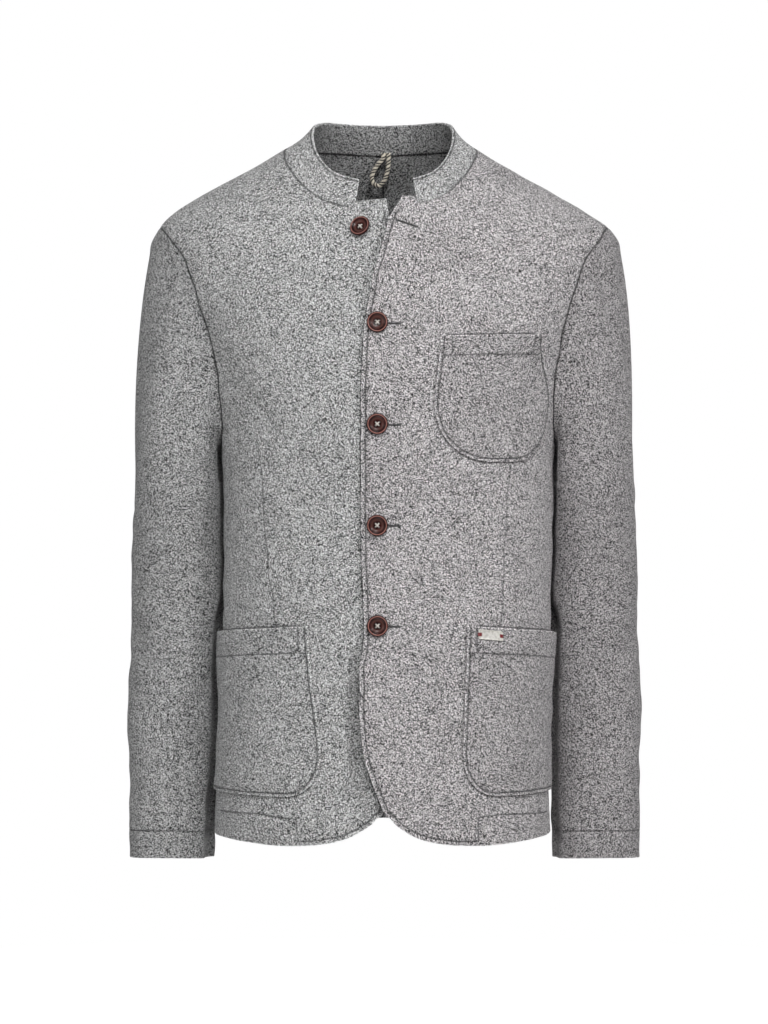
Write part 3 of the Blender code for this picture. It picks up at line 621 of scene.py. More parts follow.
def wall(name, outer, normals, thick, side=1, lines=(), seams=(0, 0, 0, 0)):
    """Two faces and a rim. Within half a thickness of the edge both faces roll towards each other along a
    quarter circle; beside a sewn line the outer face sinks in a bell curve. The seams tell which of the
    first row, last row, first column and last column are joined to another panel."""
    borders = [fine_line(border) for border in (outer[0], outer[-1], outer[:, 0], outer[:, -1])]
    edge, which = distance_to(outer, np.concatenate(borders))
    seam = np.repeat(np.array(seams, float), [len(border) for border in borders])[which]
    radius = thick / 2
    roll = radius - np.sqrt(radius**2 - np.clip(radius - edge, 0, ROLL_SHARE * radius) ** 2)
    sewing = sewn(outer, normals, lines)
    sink = SEWN_DEPTH * np.exp(-((sewing[..., 0] / SEWN_WIDTH) ** 2)) * sewing[..., 1]
    face = outer - (roll + sink)[..., None] * normals
    lining = outer - (thick - roll)[..., None] * normals
    rows, columns = outer.shape[:2]
    number = np.arange(rows * columns).reshape(rows, columns)
    loop = rim_of(number)
    rim = np.stack([np.roll(loop, -1), loop, loop + number.size, np.roll(loop, -1) + number.size], -1)
    front = grid_faces(rows, columns)
    faces = np.concatenate([front, front[:, ::-1] + number.size, rim])
    points = np.concatenate([face.reshape(-1, 3), lining.reshape(-1, 3)]) * [side, 1, 1]
    mesh = mesh_of(name, points, faces[:, ::-1] if side < 0 else faces)
    both = np.concatenate([sewing.reshape(-1, 3), 0 * sewing.reshape(-1, 3)])
    mesh.attributes.new("sewing", "FLOAT_VECTOR", "POINT").data.foreach_set("vector", both.ravel())
    inner = np.repeat([0.0, 1.0], number.size)
    edge, seam = np.tile(edge.ravel(), 2), np.tile(seam.ravel(), 2)
    for label, values in (("edge", edge), ("seam", seam), ("inner", inner)):
        set_values(mesh, label, values)
    return mesh


def area_of(grid):
    """Area of a grid of points: half the cross product of the diagonals of each cell."""
    a, b = grid[1:, 1:] - grid[:-1, :-1], grid[1:, :-1] - grid[:-1, 1:]
    return float(np.linalg.norm(np.cross(a, b), axis=-1).sum() / 2)


print("columns across a 250 mm panel:", lanes(0.25, PLAIN_EDGE, SEWN_EDGE).shape[1])

# %% [markdown]
# Boiled wool in melange grey is dyed in the fleece: charcoal, mid grey and white fibres are mixed before
# spinning, so the colour is in small tufts up to a millimetre across, never in clear threads. Two layers of
# cells give the tufts, a stretched noise gives the faint lines of the knit under the felt, and a slow noise
# gives cloudy patches. The larger cells and a hair-fine noise drive the nap in the bump, and sheen on the
# shader gives the pale bloom of fibres that stand up at grazing angles.

# %% Node helpers
def add_node(tree, kind, inputs=None, **settings):
    """A node with its settings, and each input given as a value or as another node's output."""
    made = tree.nodes.new(kind)
    for name, value in settings.items():
        setattr(made, name, value)
    for name, value in (inputs or {}).items():
        if isinstance(value, bpy.types.NodeSocket):
            tree.links.new(value, made.inputs[name])
        else:
            made.inputs[name].default_value = value
    return made


def maths(tree, what, a, b=0.0, c=0.0, clamp=False):
    """One sum, product or function of up to three values."""
    return add_node(tree, "ShaderNodeMath", {0: a, 1: b, 2: c}, operation=what, use_clamp=clamp).outputs[0]


def group(name, inputs, outputs):
    """An empty node group with named inputs and outputs, and its two end nodes."""
    made = bpy.data.node_groups.new(name, "ShaderNodeTree")
    for label, kind, value in inputs:
        socket = made.interface.new_socket(label, in_out="INPUT", socket_type=kind)
        if kind == "NodeSocketFloat":
            socket.default_value = value
    for label, kind in outputs:
        made.interface.new_socket(label, in_out="OUTPUT", socket_type=kind)
    return made, made.nodes.new("NodeGroupInput").outputs, made.nodes.new("NodeGroupOutput").inputs


def use_group(tree, made, inputs):
    """The outputs of a group placed in a material or in another group."""
    node = add_node(tree, "ShaderNodeGroup")
    node.node_tree = made
    for name, value in inputs.items():
        if isinstance(value, bpy.types.NodeSocket):
            tree.links.new(value, node.inputs[name])
        else:
            node.inputs[name].default_value = value
    return node.outputs


def new_material(name, **constants):
    """A Principled material; values that are the same all over stay on the shader's own sockets."""
    made = bpy.data.materials.new(name)
    made.use_nodes = True
    shader = made.node_tree.nodes["Principled BSDF"]
    for label, value in constants.items():
        shader.inputs[label.replace("_", " ")].default_value = value
    return made, made.node_tree, shader


def own_place(tree):
    """The object's own coordinates, in metres."""
    return add_node(tree, "ShaderNodeTexCoord").outputs["Object"]


def value_of(tree, label):
    """The number that the mesh holds for each point under a name."""
    return add_node(tree, "ShaderNodeAttribute", attribute_name=label).outputs["Fac"]


def noise(tree, vector, scale, detail, **more):
    """A noise with this many cells a metre."""
    return add_node(tree, "ShaderNodeTexNoise", {"Vector": vector, "Scale": scale, "Detail": detail, **more})


def stretched(tree, vector, scale):
    """Coordinates scaled along each axis; a share under 1 draws a pattern out along that axis."""
    return add_node(tree, "ShaderNodeMapping", {"Vector": vector, "Scale": scale}).outputs[0]


def ramp(tree, factor, first, last, *between):
    """A colour read between stops, each given as a place from 0 to 1 and a colour."""
    made = add_node(tree, "ShaderNodeValToRGB", {"Fac": factor})
    stops = made.color_ramp.elements
    stops[0].position, stops[0].color = first[0], (*first[1], 1)
    stops[1].position, stops[1].color = last[0], (*last[1], 1)
    for place, colour in between:
        stops.new(place).color = (*colour, 1)
    return made.outputs["Color"]


def blend(tree, share, colour, other):
    """One colour where the share is 0 and another where it is 1."""
    made = add_node(tree, "ShaderNodeMix", {0: share, 6: colour, 7: (*other, 1)}, data_type="RGBA")
    return made.outputs[2]


def dim(tree, colour, share):
    """A colour with all three parts times a share."""
    made = add_node(tree, "ShaderNodeVectorMath", {0: colour, "Scale": share}, operation="SCALE")
    return made.outputs[0]


def finish_with(tree, shader, colour, height, strength, distance):
    """Links a colour to a shader, and a height as its bump."""
    bump = add_node(tree, "ShaderNodeBump", {"Height": height, "Strength": strength, "Distance": distance})
    tree.links.new(colour, shader.inputs["Base Color"])
    tree.links.new(bump.outputs["Normal"], shader.inputs["Normal"])


# %% The felt group
TUFT_CELLS, TUFT_WEIGHTS, TUFT_SHAKE = (1700.0, 900.0), (4.6, 0.2), 0.3 * MM
SHAKE_SCALE, STREAK_SCALE, CLOUD_SCALE, HAIR_SCALE = 900.0, 260.0, 55.0, 1500.0
KNIT_STRETCH, HAIR_HEIGHT, TUFT_HEIGHT = (0.25, 0.25, 1.0), 0.22 * MM, 0.30 * MM


def felt_group():
    """Shade is a weighted sum of the tufts' random greys and the noises; Nap is a height in metres."""
    tree, given, out = group(
        "felt",
        [("Vector", "NodeSocketVector", None), ("Fleck", "NodeSocketFloat", 1.0),
         ("Cloud", "NodeSocketFloat", 1.0)],
        [("Shade", "NodeSocketFloat"), ("Nap", "NodeSocketFloat")],
    )
    shaken = noise(tree, given["Vector"], SHAKE_SCALE, 2.0).outputs["Color"]
    offset = add_node(tree, "ShaderNodeVectorMath", {0: shaken, 1: (0.5, 0.5, 0.5)}, operation="SUBTRACT")
    moved = {0: offset.outputs[0], 1: (TUFT_SHAKE,) * 3, 2: given["Vector"]}
    vector = add_node(tree, "ShaderNodeVectorMath", moved, operation="MULTIPLY_ADD").outputs[0]
    tufts = []
    for scale in TUFT_CELLS:
        cells = add_node(tree, "ShaderNodeTexVoronoi", {"Vector": vector, "Scale": scale})
        grey = add_node(tree, "ShaderNodeSeparateColor", {"Color": cells.outputs["Color"]})
        tufts.append((maths(tree, "SUBTRACT", grey.outputs[0], 0.5), cells.outputs["Distance"]))
    wide = stretched(tree, given["Vector"], KNIT_STRETCH)
    streak, cloud = [
        maths(tree, "SUBTRACT", noise(tree, wide, scale, 2.0).outputs["Fac"], 0.5)
        for scale in (STREAK_SCALE, CLOUD_SCALE)
    ]
    small = maths(tree, "MULTIPLY", tufts[0][0], TUFT_WEIGHTS[0])
    fleck = maths(tree, "MULTIPLY_ADD", tufts[1][0], TUFT_WEIGHTS[1], small)
    fleck = maths(tree, "MULTIPLY_ADD", fleck, given["Fleck"], 0.5)
    soft = maths(tree, "ADD", cloud, streak)
    shade = maths(tree, "MULTIPLY_ADD", soft, given["Cloud"], fleck, clamp=True)
    hair = noise(tree, given["Vector"], HAIR_SCALE, 4.0).outputs["Fac"]
    nap = maths(tree, "MULTIPLY_ADD", hair, HAIR_HEIGHT, maths(tree, "MULTIPLY", tufts[1][1], TUFT_HEIGHT))
    tree.links.new(shade, out["Shade"])
    tree.links.new(nap, out["Nap"])
    return tree


felt = felt_group()
print("felt group:", len(felt.nodes), "nodes")

# %% [markdown]
# Where cloth is sewn, a narrow crease runs along the stitches, darkened with painted shade, and it puckers a
# little between one stitch and the next. Each panel carries the distance to its nearest sewn line as an
# attribute, so the crease can be as fine as the thread, finer than the mesh.

# %% The sewn line group
PULL_SWING, PULL_MEAN = 0.25, 0.8


def sewn_line_group():
    """Crease is a bell curve of the distance beside the line; Height is the crease, waved by the stitches."""
    tree, given, out = group(
        "sewn_line",
        [("Sewing", "NodeSocketVector", None), ("Width", "NodeSocketFloat", 0.9 * MM),
         ("Depth", "NodeSocketFloat", 0.35 * MM), ("Pitch", "NodeSocketFloat", 3.4 * MM)],
        [("Crease", "NodeSocketFloat"), ("Height", "NodeSocketFloat")],
    )
    parts = add_node(tree, "ShaderNodeSeparateXYZ", {0: given["Sewing"]}).outputs
    ratio = maths(tree, "DIVIDE", parts[0], given["Width"])
    bell = maths(tree, "EXPONENT", maths(tree, "MULTIPLY", maths(tree, "MULTIPLY", ratio, ratio), -1.0))
    crease = maths(tree, "MULTIPLY", bell, parts[1], clamp=True)
    turns = maths(tree, "DIVIDE", parts[2], given["Pitch"])
    wave = maths(tree, "SINE", maths(tree, "MULTIPLY", turns, 2 * math.pi))
    pull = maths(tree, "MULTIPLY_ADD", wave, PULL_SWING, PULL_MEAN)
    depth = maths(tree, "MULTIPLY", maths(tree, "MULTIPLY", crease, pull), given["Depth"])
    tree.links.new(crease, out["Crease"])
    tree.links.new(maths(tree, "MULTIPLY", depth, -1.0), out["Height"])
    return tree


sewn_line = sewn_line_group()
print("sewn line group:", len(sewn_line.nodes), "nodes")

# %% The panel shade group
# Painted shade in sewn creases and at joined edges, and a painted highlight on a free edge's last millimetre.
CREASE_PAINTED_SHADE, INNER_DARKER = -0.62, -0.36
FREE_EDGE_HIGHLIGHT, JOINED_EDGE_SHADE = (1.5 * MM, 1.7), (1.9 * MM, 0.1)


def panel_shade_group():
    """Shade is a product of shares: a sewn crease is darker by painted shade, the last millimetre of a free
    edge paler by a painted highlight and of a joined one darker by painted shade, and the inner face dimmer
    by painted shade, because less light gets into the hollow."""
    tree, given, out = group(
        "panel_shade",
        [("Crease", "NodeSocketFloat", 0.0), ("Edge", "NodeSocketFloat", 1.0),
         ("Seam", "NodeSocketFloat", 0.0), ("Inner", "NodeSocketFloat", 0.0)],
        [("Shade", "NodeSocketFloat")],
    )
    # The first map is the free edge's painted highlight, the second the joined edge's painted shade.
    pale, joined = [
        add_node(tree, "ShaderNodeMapRange", {"Value": given["Edge"], "From Min": 0.0, "From Max": reach,
                                              "To Min": share, "To Max": 1.0}).outputs[0]
        for reach, share in (FREE_EDGE_HIGHLIGHT, JOINED_EDGE_SHADE)
    ]
    rind = add_node(tree, "ShaderNodeMix", {0: given["Seam"], 2: pale, 3: joined}, data_type="FLOAT")
    crease = maths(tree, "MULTIPLY_ADD", given["Crease"], CREASE_PAINTED_SHADE, 1.0)
    lining = maths(tree, "MULTIPLY_ADD", given["Inner"], INNER_DARKER, 1.0)
    both = maths(tree, "MULTIPLY", crease, lining)
    tree.links.new(maths(tree, "MULTIPLY", both, rind.outputs[0]), out["Shade"])
    return tree


panel_shade = panel_shade_group()
print("panel shade group:", len(panel_shade.nodes), "nodes")

# %% The wool materials
# Charcoal, white, and the mid grey between them.
GREYS, GREY_STOPS = (0.006, 0.93, 0.12), (0.06, 0.94, 0.5)


def wool(name, tone=1.0, warm=0.0, fleck=1.0, cloud=0.55):
    """Felted melange: a ramp from charcoal to white over the felt group's shade, darker in sewn creases by
    painted shade and paler along a cut edge by a painted highlight. The tone dims all three colours, a
    painted shade for a panel that gets less light, and the warmth takes a share of green and blue away."""
    stops = [
        (place, (tone * grey, tone * grey * (1 - warm), tone * grey * (1 - 0.7 * warm)))
        for place, grey in zip(GREY_STOPS, GREYS)
    ]
    made, tree, shader = new_material(
        name, Roughness=0.93, Sheen_Weight=0.16, Sheen_Roughness=0.55, Sheen_Tint=(0.95, 0.95, 0.97, 1),
        Specular_IOR_Level=0.18,
    )
    cloth = use_group(tree, felt, {"Vector": own_place(tree), "Fleck": fleck, "Cloud": cloud})
    sewing = add_node(tree, "ShaderNodeAttribute", attribute_name="sewing").outputs["Vector"]
    line = use_group(tree, sewn_line, {"Sewing": sewing})
    given = {label: value_of(tree, label.lower()) for label in ("Edge", "Seam", "Inner")}
    shade = use_group(tree, panel_shade, {"Crease": line["Crease"], **given})["Shade"]
    tint = dim(tree, ramp(tree, cloth["Shade"], *stops), shade)
    finish_with(tree, shader, tint, maths(tree, "ADD", cloth["Nap"], line["Height"]), 0.85, 1.0)
    return made


WOOL, WOOL_WARM = wool("wool_front"), wool("wool_front_warm", 1.0, 0.04)
# Sleeves and pockets are darker copies of the same wool: painted shade, since these panels catch less light.
SHADED_SLEEVE_WOOL = {-1: wool("wool_sleeve", 0.82), 1: wool("wool_sleeve_warm", 0.76, 0.04)}
SHADED_POCKET_WOOL = {-1: wool("wool_pocket", 0.95), 1: wool("wool_pocket_warm", 0.9, 0.04)}
print("wool materials:", sorted(m.name for m in bpy.data.materials if m.name.startswith("wool")))

# %% [markdown]
# Every panel, button, plate or loop of the jacket is one object that stands for one imported solid and rides
# on the only body. Sewing rides there too. A panel also says how large its flat cut was. Wool doesn't
# stretch when it is filled out, so the cut has the area of the curved face; the width and length are the
# longest row and column of points on it.

# %% Declaring a piece
jacket = bpy.data.collections.new("blazer")
bpy.context.scene.collection.children.link(jacket)
flat_sizes = {}


def dress(name, mesh, finish, *nodes):
    """An object at the origin that replaces its solids, which are hidden, and rides on the only body."""
    made = bpy.data.objects.new(name, mesh)
    jacket.objects.link(made)
    made.data.materials.clear()
    made.data.materials.append(finish)
    if nodes:
        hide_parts(*nodes)
    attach(made, "root")
    return made


def dress_sewing(name, mesh, finish):
    """An object that stands for no solid and rides on the only body."""
    dress(name, mesh, finish)


def declare_cut(piece, outer):
    """The flat cut of a panel, measured on its outer face."""
    width = float(np.linalg.norm(np.diff(outer, axis=1), axis=2).sum(1).max())
    length = float(np.linalg.norm(np.diff(outer, axis=0), axis=2).sum(0).max())
    area = min(area_of(outer), width * length)
    flat_sizes[piece.name] = (round(width, 3), round(length, 3), round(area, 4))


# %% [markdown]
# Sewing thread lies on felt in short runs: each stitch rises from the cloth, bulges and dives again. One
# stitch is a spindle of five rings; a seam repeats it along a line by arrays, and all the stitches of a
# piece are one mesh.

# %% Stitches
stitch_sets = {}
STITCH_LONG, STITCH_GAP, STITCH_RADIUS = 2.7 * MM, 0.75 * MM, 0.34 * MM
STITCH_FIRST, STITCH_END_SHARE = 0.15, 0.35
STITCH_RISE, STITCH_DIP, STITCH_SUNK = 0.12 * MM, 0.5 * MM, 0.45 * MM
RING_SHARES, RING_ARCH, RING_SIDES = np.array([0, 0.16, 0.5, 0.84, 1]), np.array([0, 0.85, 1, 0.85, 0]), 6


def lay_stitches(owner, side, rows):
    """Adds stitches along rows of points and normals, sunk as deep as the sewing draws the face in. Ring
    centres run along the row, lower at both ends by the arch, and the ring's radius grows with it."""
    own = np.array([side, 1, 1])
    for points, ways in rows:
        line, normals = (points - STITCH_SUNK * ways) * own, ways * own
        run = run_along(line)
        count = max(1, int(run[-1] / (STITCH_LONG + STITCH_GAP)))
        at = ((np.arange(count) + STITCH_FIRST) * run[-1] / count)[:, None] + RING_SHARES * STITCH_LONG
        place, out = read_line(line, run, at), unit(read_line(normals, run, at))
        beside = unit(np.cross(unit(np.gradient(place, axis=1)), out))
        centre = place + ((RING_ARCH - 1) * STITCH_DIP + STITCH_RISE)[None, :, None] * out
        turn = np.linspace(0, 2 * math.pi, RING_SIDES, endpoint=False)
        thick = STITCH_END_SHARE + (1 - STITCH_END_SHARE) * RING_ARCH
        radius = thick[None, :, None, None] * STITCH_RADIUS
        ring = np.cos(turn)[:, None] * beside[:, :, None] + np.sin(turn)[:, None] * out[:, :, None]
        stitch_sets.setdefault(owner, []).append(centre[:, :, None] + radius * ring)


def stitch_mesh(name, sets):
    """All the spindles of a piece in one mesh; two faces across its first and last ring close each one."""
    rings = len(RING_SHARES)
    count = rings * RING_SIDES
    points = np.concatenate(sets).reshape(-1, count, 3)
    tube = grid_faces(rings, RING_SIDES, around=True)[:, ::-1]
    ends = np.array([[0, 1, 2, 3], [0, 3, 4, 5], [27, 26, 25, 24], [29, 28, 27, 24]])
    one = np.concatenate([tube, ends])
    faces = one[None] + np.arange(len(points))[:, None, None] * count
    return mesh_of(name, points, faces.reshape(-1, 4))


def make_panel(name, side, face, drawn, seams, rows, finish, thick=CLOTH):
    """The wall, the object, the flat cut and the stitches of a panel, from its outer face. The lines draw
    the face in by their strengths, and stitches lie along the rows."""
    outer, normals = face
    mesh = wall(name, outer, normals, thick, side, drawn, seams)
    declare_cut(dress(f"cloth_{name}", mesh, finish, name), outer)
    lay_stitches(name, side, rows)
    print(name, outer.shape[:2], "points a face")


print("a stitch has", len(RING_SHARES) * RING_SIDES, "points")

# %% [markdown]
# Patch pockets are flat pieces laid on the fronts and sewn round three sides, and the corners of the mouth
# have a short bar of stitches. A pocket is given as cloth distance from the middle of the front and height,
# so it bends with the front under it. The outlines are needed first, because the sewing draws the front in.

# %% Pocket outlines
CHEST_POCKET = {
    "left": (57, 50.5), "right": (169, 190), "top": (-191, -187), "bottom": -315.5,
    "round_left": (62, 60), "round_right": (62, 60), "band": 19.5, "bulge": (1.8, 0.4, 0.0),
    "tacks": (68.3, 158.5),
}
HIP_POCKET = {
    "right": (236, 234), "top": (-479, -489), "bottom": -648.5,
    "round_left": (38, 42), "round_right": (10, 12), "band": 26, "bulge": (3.0, 0.5, 1.0),
}
HIP_LEFT = {**HIP_POCKET, "left": (84, 80), "tacks": (93.8, 226)}
HIP_RIGHT = {**HIP_POCKET, "left": (75, 62), "tacks": (84.8, 226)}
GIRTH_ANGLES, GIRTH_LEVELS = np.radians(np.linspace(-92, 30, 245)), 60
CORNER_SQUARENESS, SIDE_BEND = 2.2, 0.8


def angle_at_girth(girth, height, side):
    """The angle that lies this far from the middle of the front, measured along the cloth. The run along
    the section is a table of girth against angle and height, read back between its two nearest rows."""
    levels = np.linspace(height.min(), height.max(), GIRTH_LEVELS)
    ring = body_form(GIRTH_ANGLES[None, :], levels[:, None], side)
    run = np.array([run_along(row) for row in ring])
    run = run - np.array([np.interp(0, x, r) for x, r in zip(ring[..., 0], run)])[:, None]
    at = (height - levels[0]) / (levels[-1] - levels[0]) * (GIRTH_LEVELS - 1)
    low = np.clip(at.astype(int), 0, GIRTH_LEVELS - 2)
    spread = np.stack([np.interp(girth.ravel(), r, GIRTH_ANGLES) for r in run])
    spread = spread.reshape(GIRTH_LEVELS, *girth.shape)
    index = np.indices(girth.shape)
    a, b = spread[(low, *index)], spread[(low + 1, *index)]
    return a + (b - a) * (at - low)


def oval(share):
    """Rise of a squared oval's corner for a share of its run: the powers of the share and of what is left
    of 1 add up to 1."""
    return 1 - (1 - share**CORNER_SQUARENESS) ** (1 / CORNER_SQUARENESS)


def pocket_edges(left, right, top, bottom, round_left, round_right, **_):
    """Foot, mouth and two sides: each side eases from mouth to foot and ends in a corner that is a quarter
    of a squared oval, and the foot is the rest of the two ovals."""
    corner, sides = 0.5 ** (1 / CORNER_SQUARENESS), []
    ends = (left, round_left, 1, top[0]), (right, round_right, -1, top[1])
    for (high, low), (wide, tall), sign, start in ends:
        middle = bottom + tall
        height = np.linspace(middle - tall * corner, start, len(FINE))
        sunk = np.clip((middle - height) / tall, 0, 1)
        straight = low + (high - low) * ease((height - middle) / (start - middle)) ** SIDE_BEND
        sides.append(np.stack([straight + sign * wide * oval(sunk), height], -1))
    s = sides[0][0, 0] + FINE * (sides[1][0, 0] - sides[0][0, 0])
    sag_left = np.clip((left[1] + round_left[0] - s) / round_left[0], 0, 1)
    sag_right = np.clip((s - right[1] + round_right[0]) / round_right[0], 0, 1)
    foot = np.stack([s, bottom + round_left[1] * oval(sag_left) + round_right[1] * oval(sag_right)], -1)
    foot[0], foot[-1] = sides[0][0], sides[1][0]
    mouth = np.stack([left[0] + FINE * (right[0] - left[0]), top[0] + FINE * (top[1] - top[0])], -1)
    return [edge * MM for edge in (foot, mouth, *sides)]


def outline_of(edges):
    """Down one side of a pocket, along its foot and up the other side."""
    return np.concatenate([edges[2][::-1], edges[0][1:-1], edges[3]])


def moved_in(line, distance):
    """An outline in cloth distance and height, moved in square to itself."""
    ahead = unit(np.gradient(line, axis=0))
    return line + distance * np.stack([-ahead[:, 1], ahead[:, 0]], -1)


for label, shape in (("chest", CHEST_POCKET), ("left hip", HIP_LEFT), ("right hip", HIP_RIGHT)):
    print(label, "pocket:", np.ptp(outline_of(pocket_edges(**shape)), axis=0).round(4), "m")

# %% [markdown]
# The fronts come first. Each has one long dart from under the chest towards the hip pocket, a row of
# stitches inside the front edge and round the cutaway, and the hem's blind stitches with the end of the
# facing. The dart, the hem and the facing's end are given as distance from the middle and height. Each line
# draws the cloth in by its own share and darkens it with painted shade; so do the pocket mouths, whose lines
# paint the shadow of the gaping mouth, and the edge of the front that lies on top, whose line on the right
# front paints the shadow under that edge.

# %% The fronts
DART = {
    1: table("height across", (-479, 118.7), (-439, 120.7), (-403, 121.8), (-363, 123.8), (-318.6, 127.9)),
    -1: table("height across", (-480, 107.6), (-448, 110.7), (-423, 114.8), (-398, 115.9), (-373, 120),
              (-340, 120.5), (-313, 124.1), (-288.5, 128.2)),
}
HEM_STITCH = {
    1: table("across height", (95.2, -669.2), (119.5, -667.4), (148.6, -668.9), (166, -670)),
    -1: table("across height", (86, -670.4), (102.3, -669.4), (127.7, -666.8), (165.1, -668.5)),
}
FACING_END = {1: (95.2, 95.6), -1: (85.2, 87.2)}
POCKETS = {1: (CHEST_POCKET, HIP_LEFT), -1: (HIP_RIGHT,)}
BUTTONHOLES = [((16.5, row), (-8.5, row)) for row in (-179.4, -279.6, -379.5, -479.4)]
BUTTONHOLES.append(((33, -83.1), (12, -77)))
TOPSTITCH, TOPSTITCH_FROM, FACING_FOOT = 4.4 * MM, 8, -692 * MM
BESIDE_POCKET, MOUTH_INSET = 1.0 * MM, 30
LAP_SHADOW_LINE_OFF, LAP_SHADOW_LINE = 0.6 * MM, np.linspace(-655, -92, 200) * MM
# Each share sinks the cloth along its line and darkens it by painted shade; the mouth and lap lines are
# mostly painted shadow.
SINK_AND_SHADE = {"dart": 0.8, "hem": 1.0, "facing": 0.7, "edge": 1.0, "round": 0.2, "mouth": 1.2, "hole": 0.8,
         "lap": 0.9}


def on_cloth(plane, side, out=0.0):
    """Outer face of a front at a distance along the cloth and a height, moved out, and the normal there."""
    girth, height = plane[..., 0], plane[..., 1]
    return on_front(np.stack([angle_at_girth(girth, height, side), height], -1), side, out)


def front_lines(side):
    """The sewn lines of a front as points and normals: the dart, the hem, the facing's end, and the row
    inside the front edge, which is the edge moved in by TOPSTITCH along the cloth."""
    dart_height = np.linspace(*DART[side]["height"][[0, -1]], 60)
    dart = at_front(read(DART[side], "across", dart_height), dart_height, side)
    hem_across = np.linspace(*HEM_STITCH[side]["across"][[0, -1]], 40)
    hem = at_front(hem_across, read(HEM_STITCH[side], "height", hem_across, "across"), side)
    end_height = np.linspace(HEM_STITCH[side]["height"][0], FACING_FOOT, 12)
    end = at_front(np.linspace(*FACING_END[side], 12) * MM, end_height, side)
    bottom, _, left, _ = front_edges(side)[0]
    upto = int(np.searchsorted(bottom[:, 0], angle_at_x(FACING_END[side][0] * MM, HEM, side)))
    outline = np.concatenate([left[:0:-1], bottom[:upto]])
    points, normals = on_front(outline, side)
    inner = points + TOPSTITCH * unit(np.cross(normals, unit(np.gradient(points, axis=0))))
    lines = {"dart": dart, "hem": hem, "facing": end,
             "edge": (inner[TOPSTITCH_FROM:], normals[TOPSTITCH_FROM:])}
    for i, shape in enumerate(POCKETS[side]):
        edges = pocket_edges(**shape)
        mouth = edges[1][-MOUTH_INSET:MOUTH_INSET:-1]
        for label, line in ((f"round_{i}", outline_of(edges)), (f"mouth_{i}", mouth)):
            lines[label] = on_cloth(moved_in(line, -BESIDE_POCKET), side)
    # A line on the right front just under the left front's edge: painted shadow of the lapped edge, with a
    # slight sink.
    if side < 0:
        lines["lap"] = at_front(LAP_SHADOW_LINE_OFF - read(FRONT_EDGE, "left", LAP_SHADOW_LINE), LAP_SHADOW_LINE, side)
    for i, (start, end) in enumerate(BUTTONHOLES if side > 0 else ()):
        across, height = (np.linspace(a, b, 30) * MM for a, b in zip(start, end))
        lines[f"hole_{i}"] = at_front(across, height, side)
    return lines


def make_front(name, side, finish):
    """A front with its darts and pockets drawn in, joined to others along its neck and its side."""
    edges, notch = front_edges(side)
    form = lambda plane: on_front(plane, side)[0]
    s, t = shares(edges, form, (SEWN_EDGE, PLAIN_EDGE, SEWN_EDGE, PLAIN_EDGE), notch)
    lines = front_lines(side)
    drawn = [(points, SINK_AND_SHADE[label.split("_")[0]]) for label, (points, _) in lines.items()]
    rows = [lines[label] for label in ("edge", "hem", "facing")]
    face = on_front(patch(edges, s, t), side)
    make_panel(name, side, face, drawn, (0, 1, 0, 1), rows, finish)


make_front("front_left", 1, WOOL_WARM)
make_front("front_right", -1, WOOL)

# %% [markdown]
# Two backs meet in a seam down the middle, which also shows inside the open neck. The hem is turned up and
# caught all round at the same height as on the fronts.

# %% The backs
BACK_HEM_STITCH, BACK_HEM_ANGLES = -668 * MM, np.linspace(math.radians(9), math.radians(89), 120)


def make_back(name, side, finish):
    """A back, joined to others along all its edges but the hem."""
    edges = back_edges(side)
    form = lambda plane: body_point(plane[..., 0], plane[..., 1], side)
    s, t = shares(edges, lambda plane: form(plane)[0], (PLAIN_EDGE,) * 4)
    hem = body_point(BACK_HEM_ANGLES, BACK_HEM_STITCH + 0 * BACK_HEM_ANGLES, side)
    face = form(patch(edges, s, t))
    make_panel(name, side, face, [(hem[0], 1.0)], (0, 1, 1, 1), [hem], finish)


make_back("back_left", 1, WOOL)
make_back("back_right", -1, WOOL)

# %% [markdown]
# A tailored sleeve has two pieces, a wide top sleeve and a narrow under sleeve, and its head is eased into
# the armhole, so it leaves the shoulder in line with it and turns down in a round shoulder. Below the arm it
# is a tube with a slight bend at the elbow. It rests against the side of the body without touching.

# %% Sizes of the sleeves
BICEPS, CUFF, CUFF_TILT = -335 * MM, -723 * MM, 3 * MM
POCKET_TOP, POCKET_LEAD, POCKET_ROOM = -452 * MM, 26 * MM, 6.5 * MM
POCKET_FROM, POCKET_FADE, PUSH_BLEND = math.radians(15), math.radians(9), 4 * MM
SLEEVE_REST, SLEEVE_SHIFT, SLEEVE_RADIUS = 2.5 * MM, 1.5 * MM, 42 * MM
HEAD_ROWS, HEAD_SHARE, HEAD_LEAVE, HEAD_BEND, SLEEVE_SEAM = 7, 0.42, 0.42, 1.6, 8 / 11 * math.pi
TURN_STEP, RIPPLE_SHIFT, HEM_POINTS = 1e-3, 0.3, 150

SLEEVE = table(
    "height centre_x centre_y half_width half_depth turn squareness",
    (-760, 217, 18, 48, 42, 4, 2.15),
    (-721, 216.5, 18, 48, 42, 4, 2.15),
    (-650, 217.5, 25, 46.5, 46, 6, 2.15),
    (-560, 216, 31, 51, 50, 8, 2.15),
    (-487, 212.5, 32, 52, 54, 9, 2.15),
    (-410, 211, 27, 50.5, 59, 9, 2.15),
    (-335, 209, 17, 48, 66, 7, 2.20),
    (-297, 208.5, 13, 47.5, 68, 6, 2.20),
)
SLEEVE["turn"] = np.radians(SLEEVE["turn"])
SLEEVE_FOLDS = table(
    "turn height length width depth",
    (112, -420, 100, 26, 2.2),
    (70, -520, 90, 26, 1.6),
    (100, -610, 90, 24, 2.0),
    (292, -430, 100, 28, 2.0),
    (300, -560, 90, 28, 1.6),
    (60, -405, 60, 9, 1.2),
    (118, -566, 64, 10, 1.8),
    (84, -592, 56, 9, 1.2),
    (35, -300, 90, 12, 0.9),
    (20, -470, 80, 12, 0.8),
    (250, -350, 80, 12, 1.6),
    (262, -400, 70, 10, 1.4),
    (240, -500, 80, 11, 1.2),
    (275, -620, 70, 12, 1.1),
    (330, -520, 90, 14, 0.9),
)


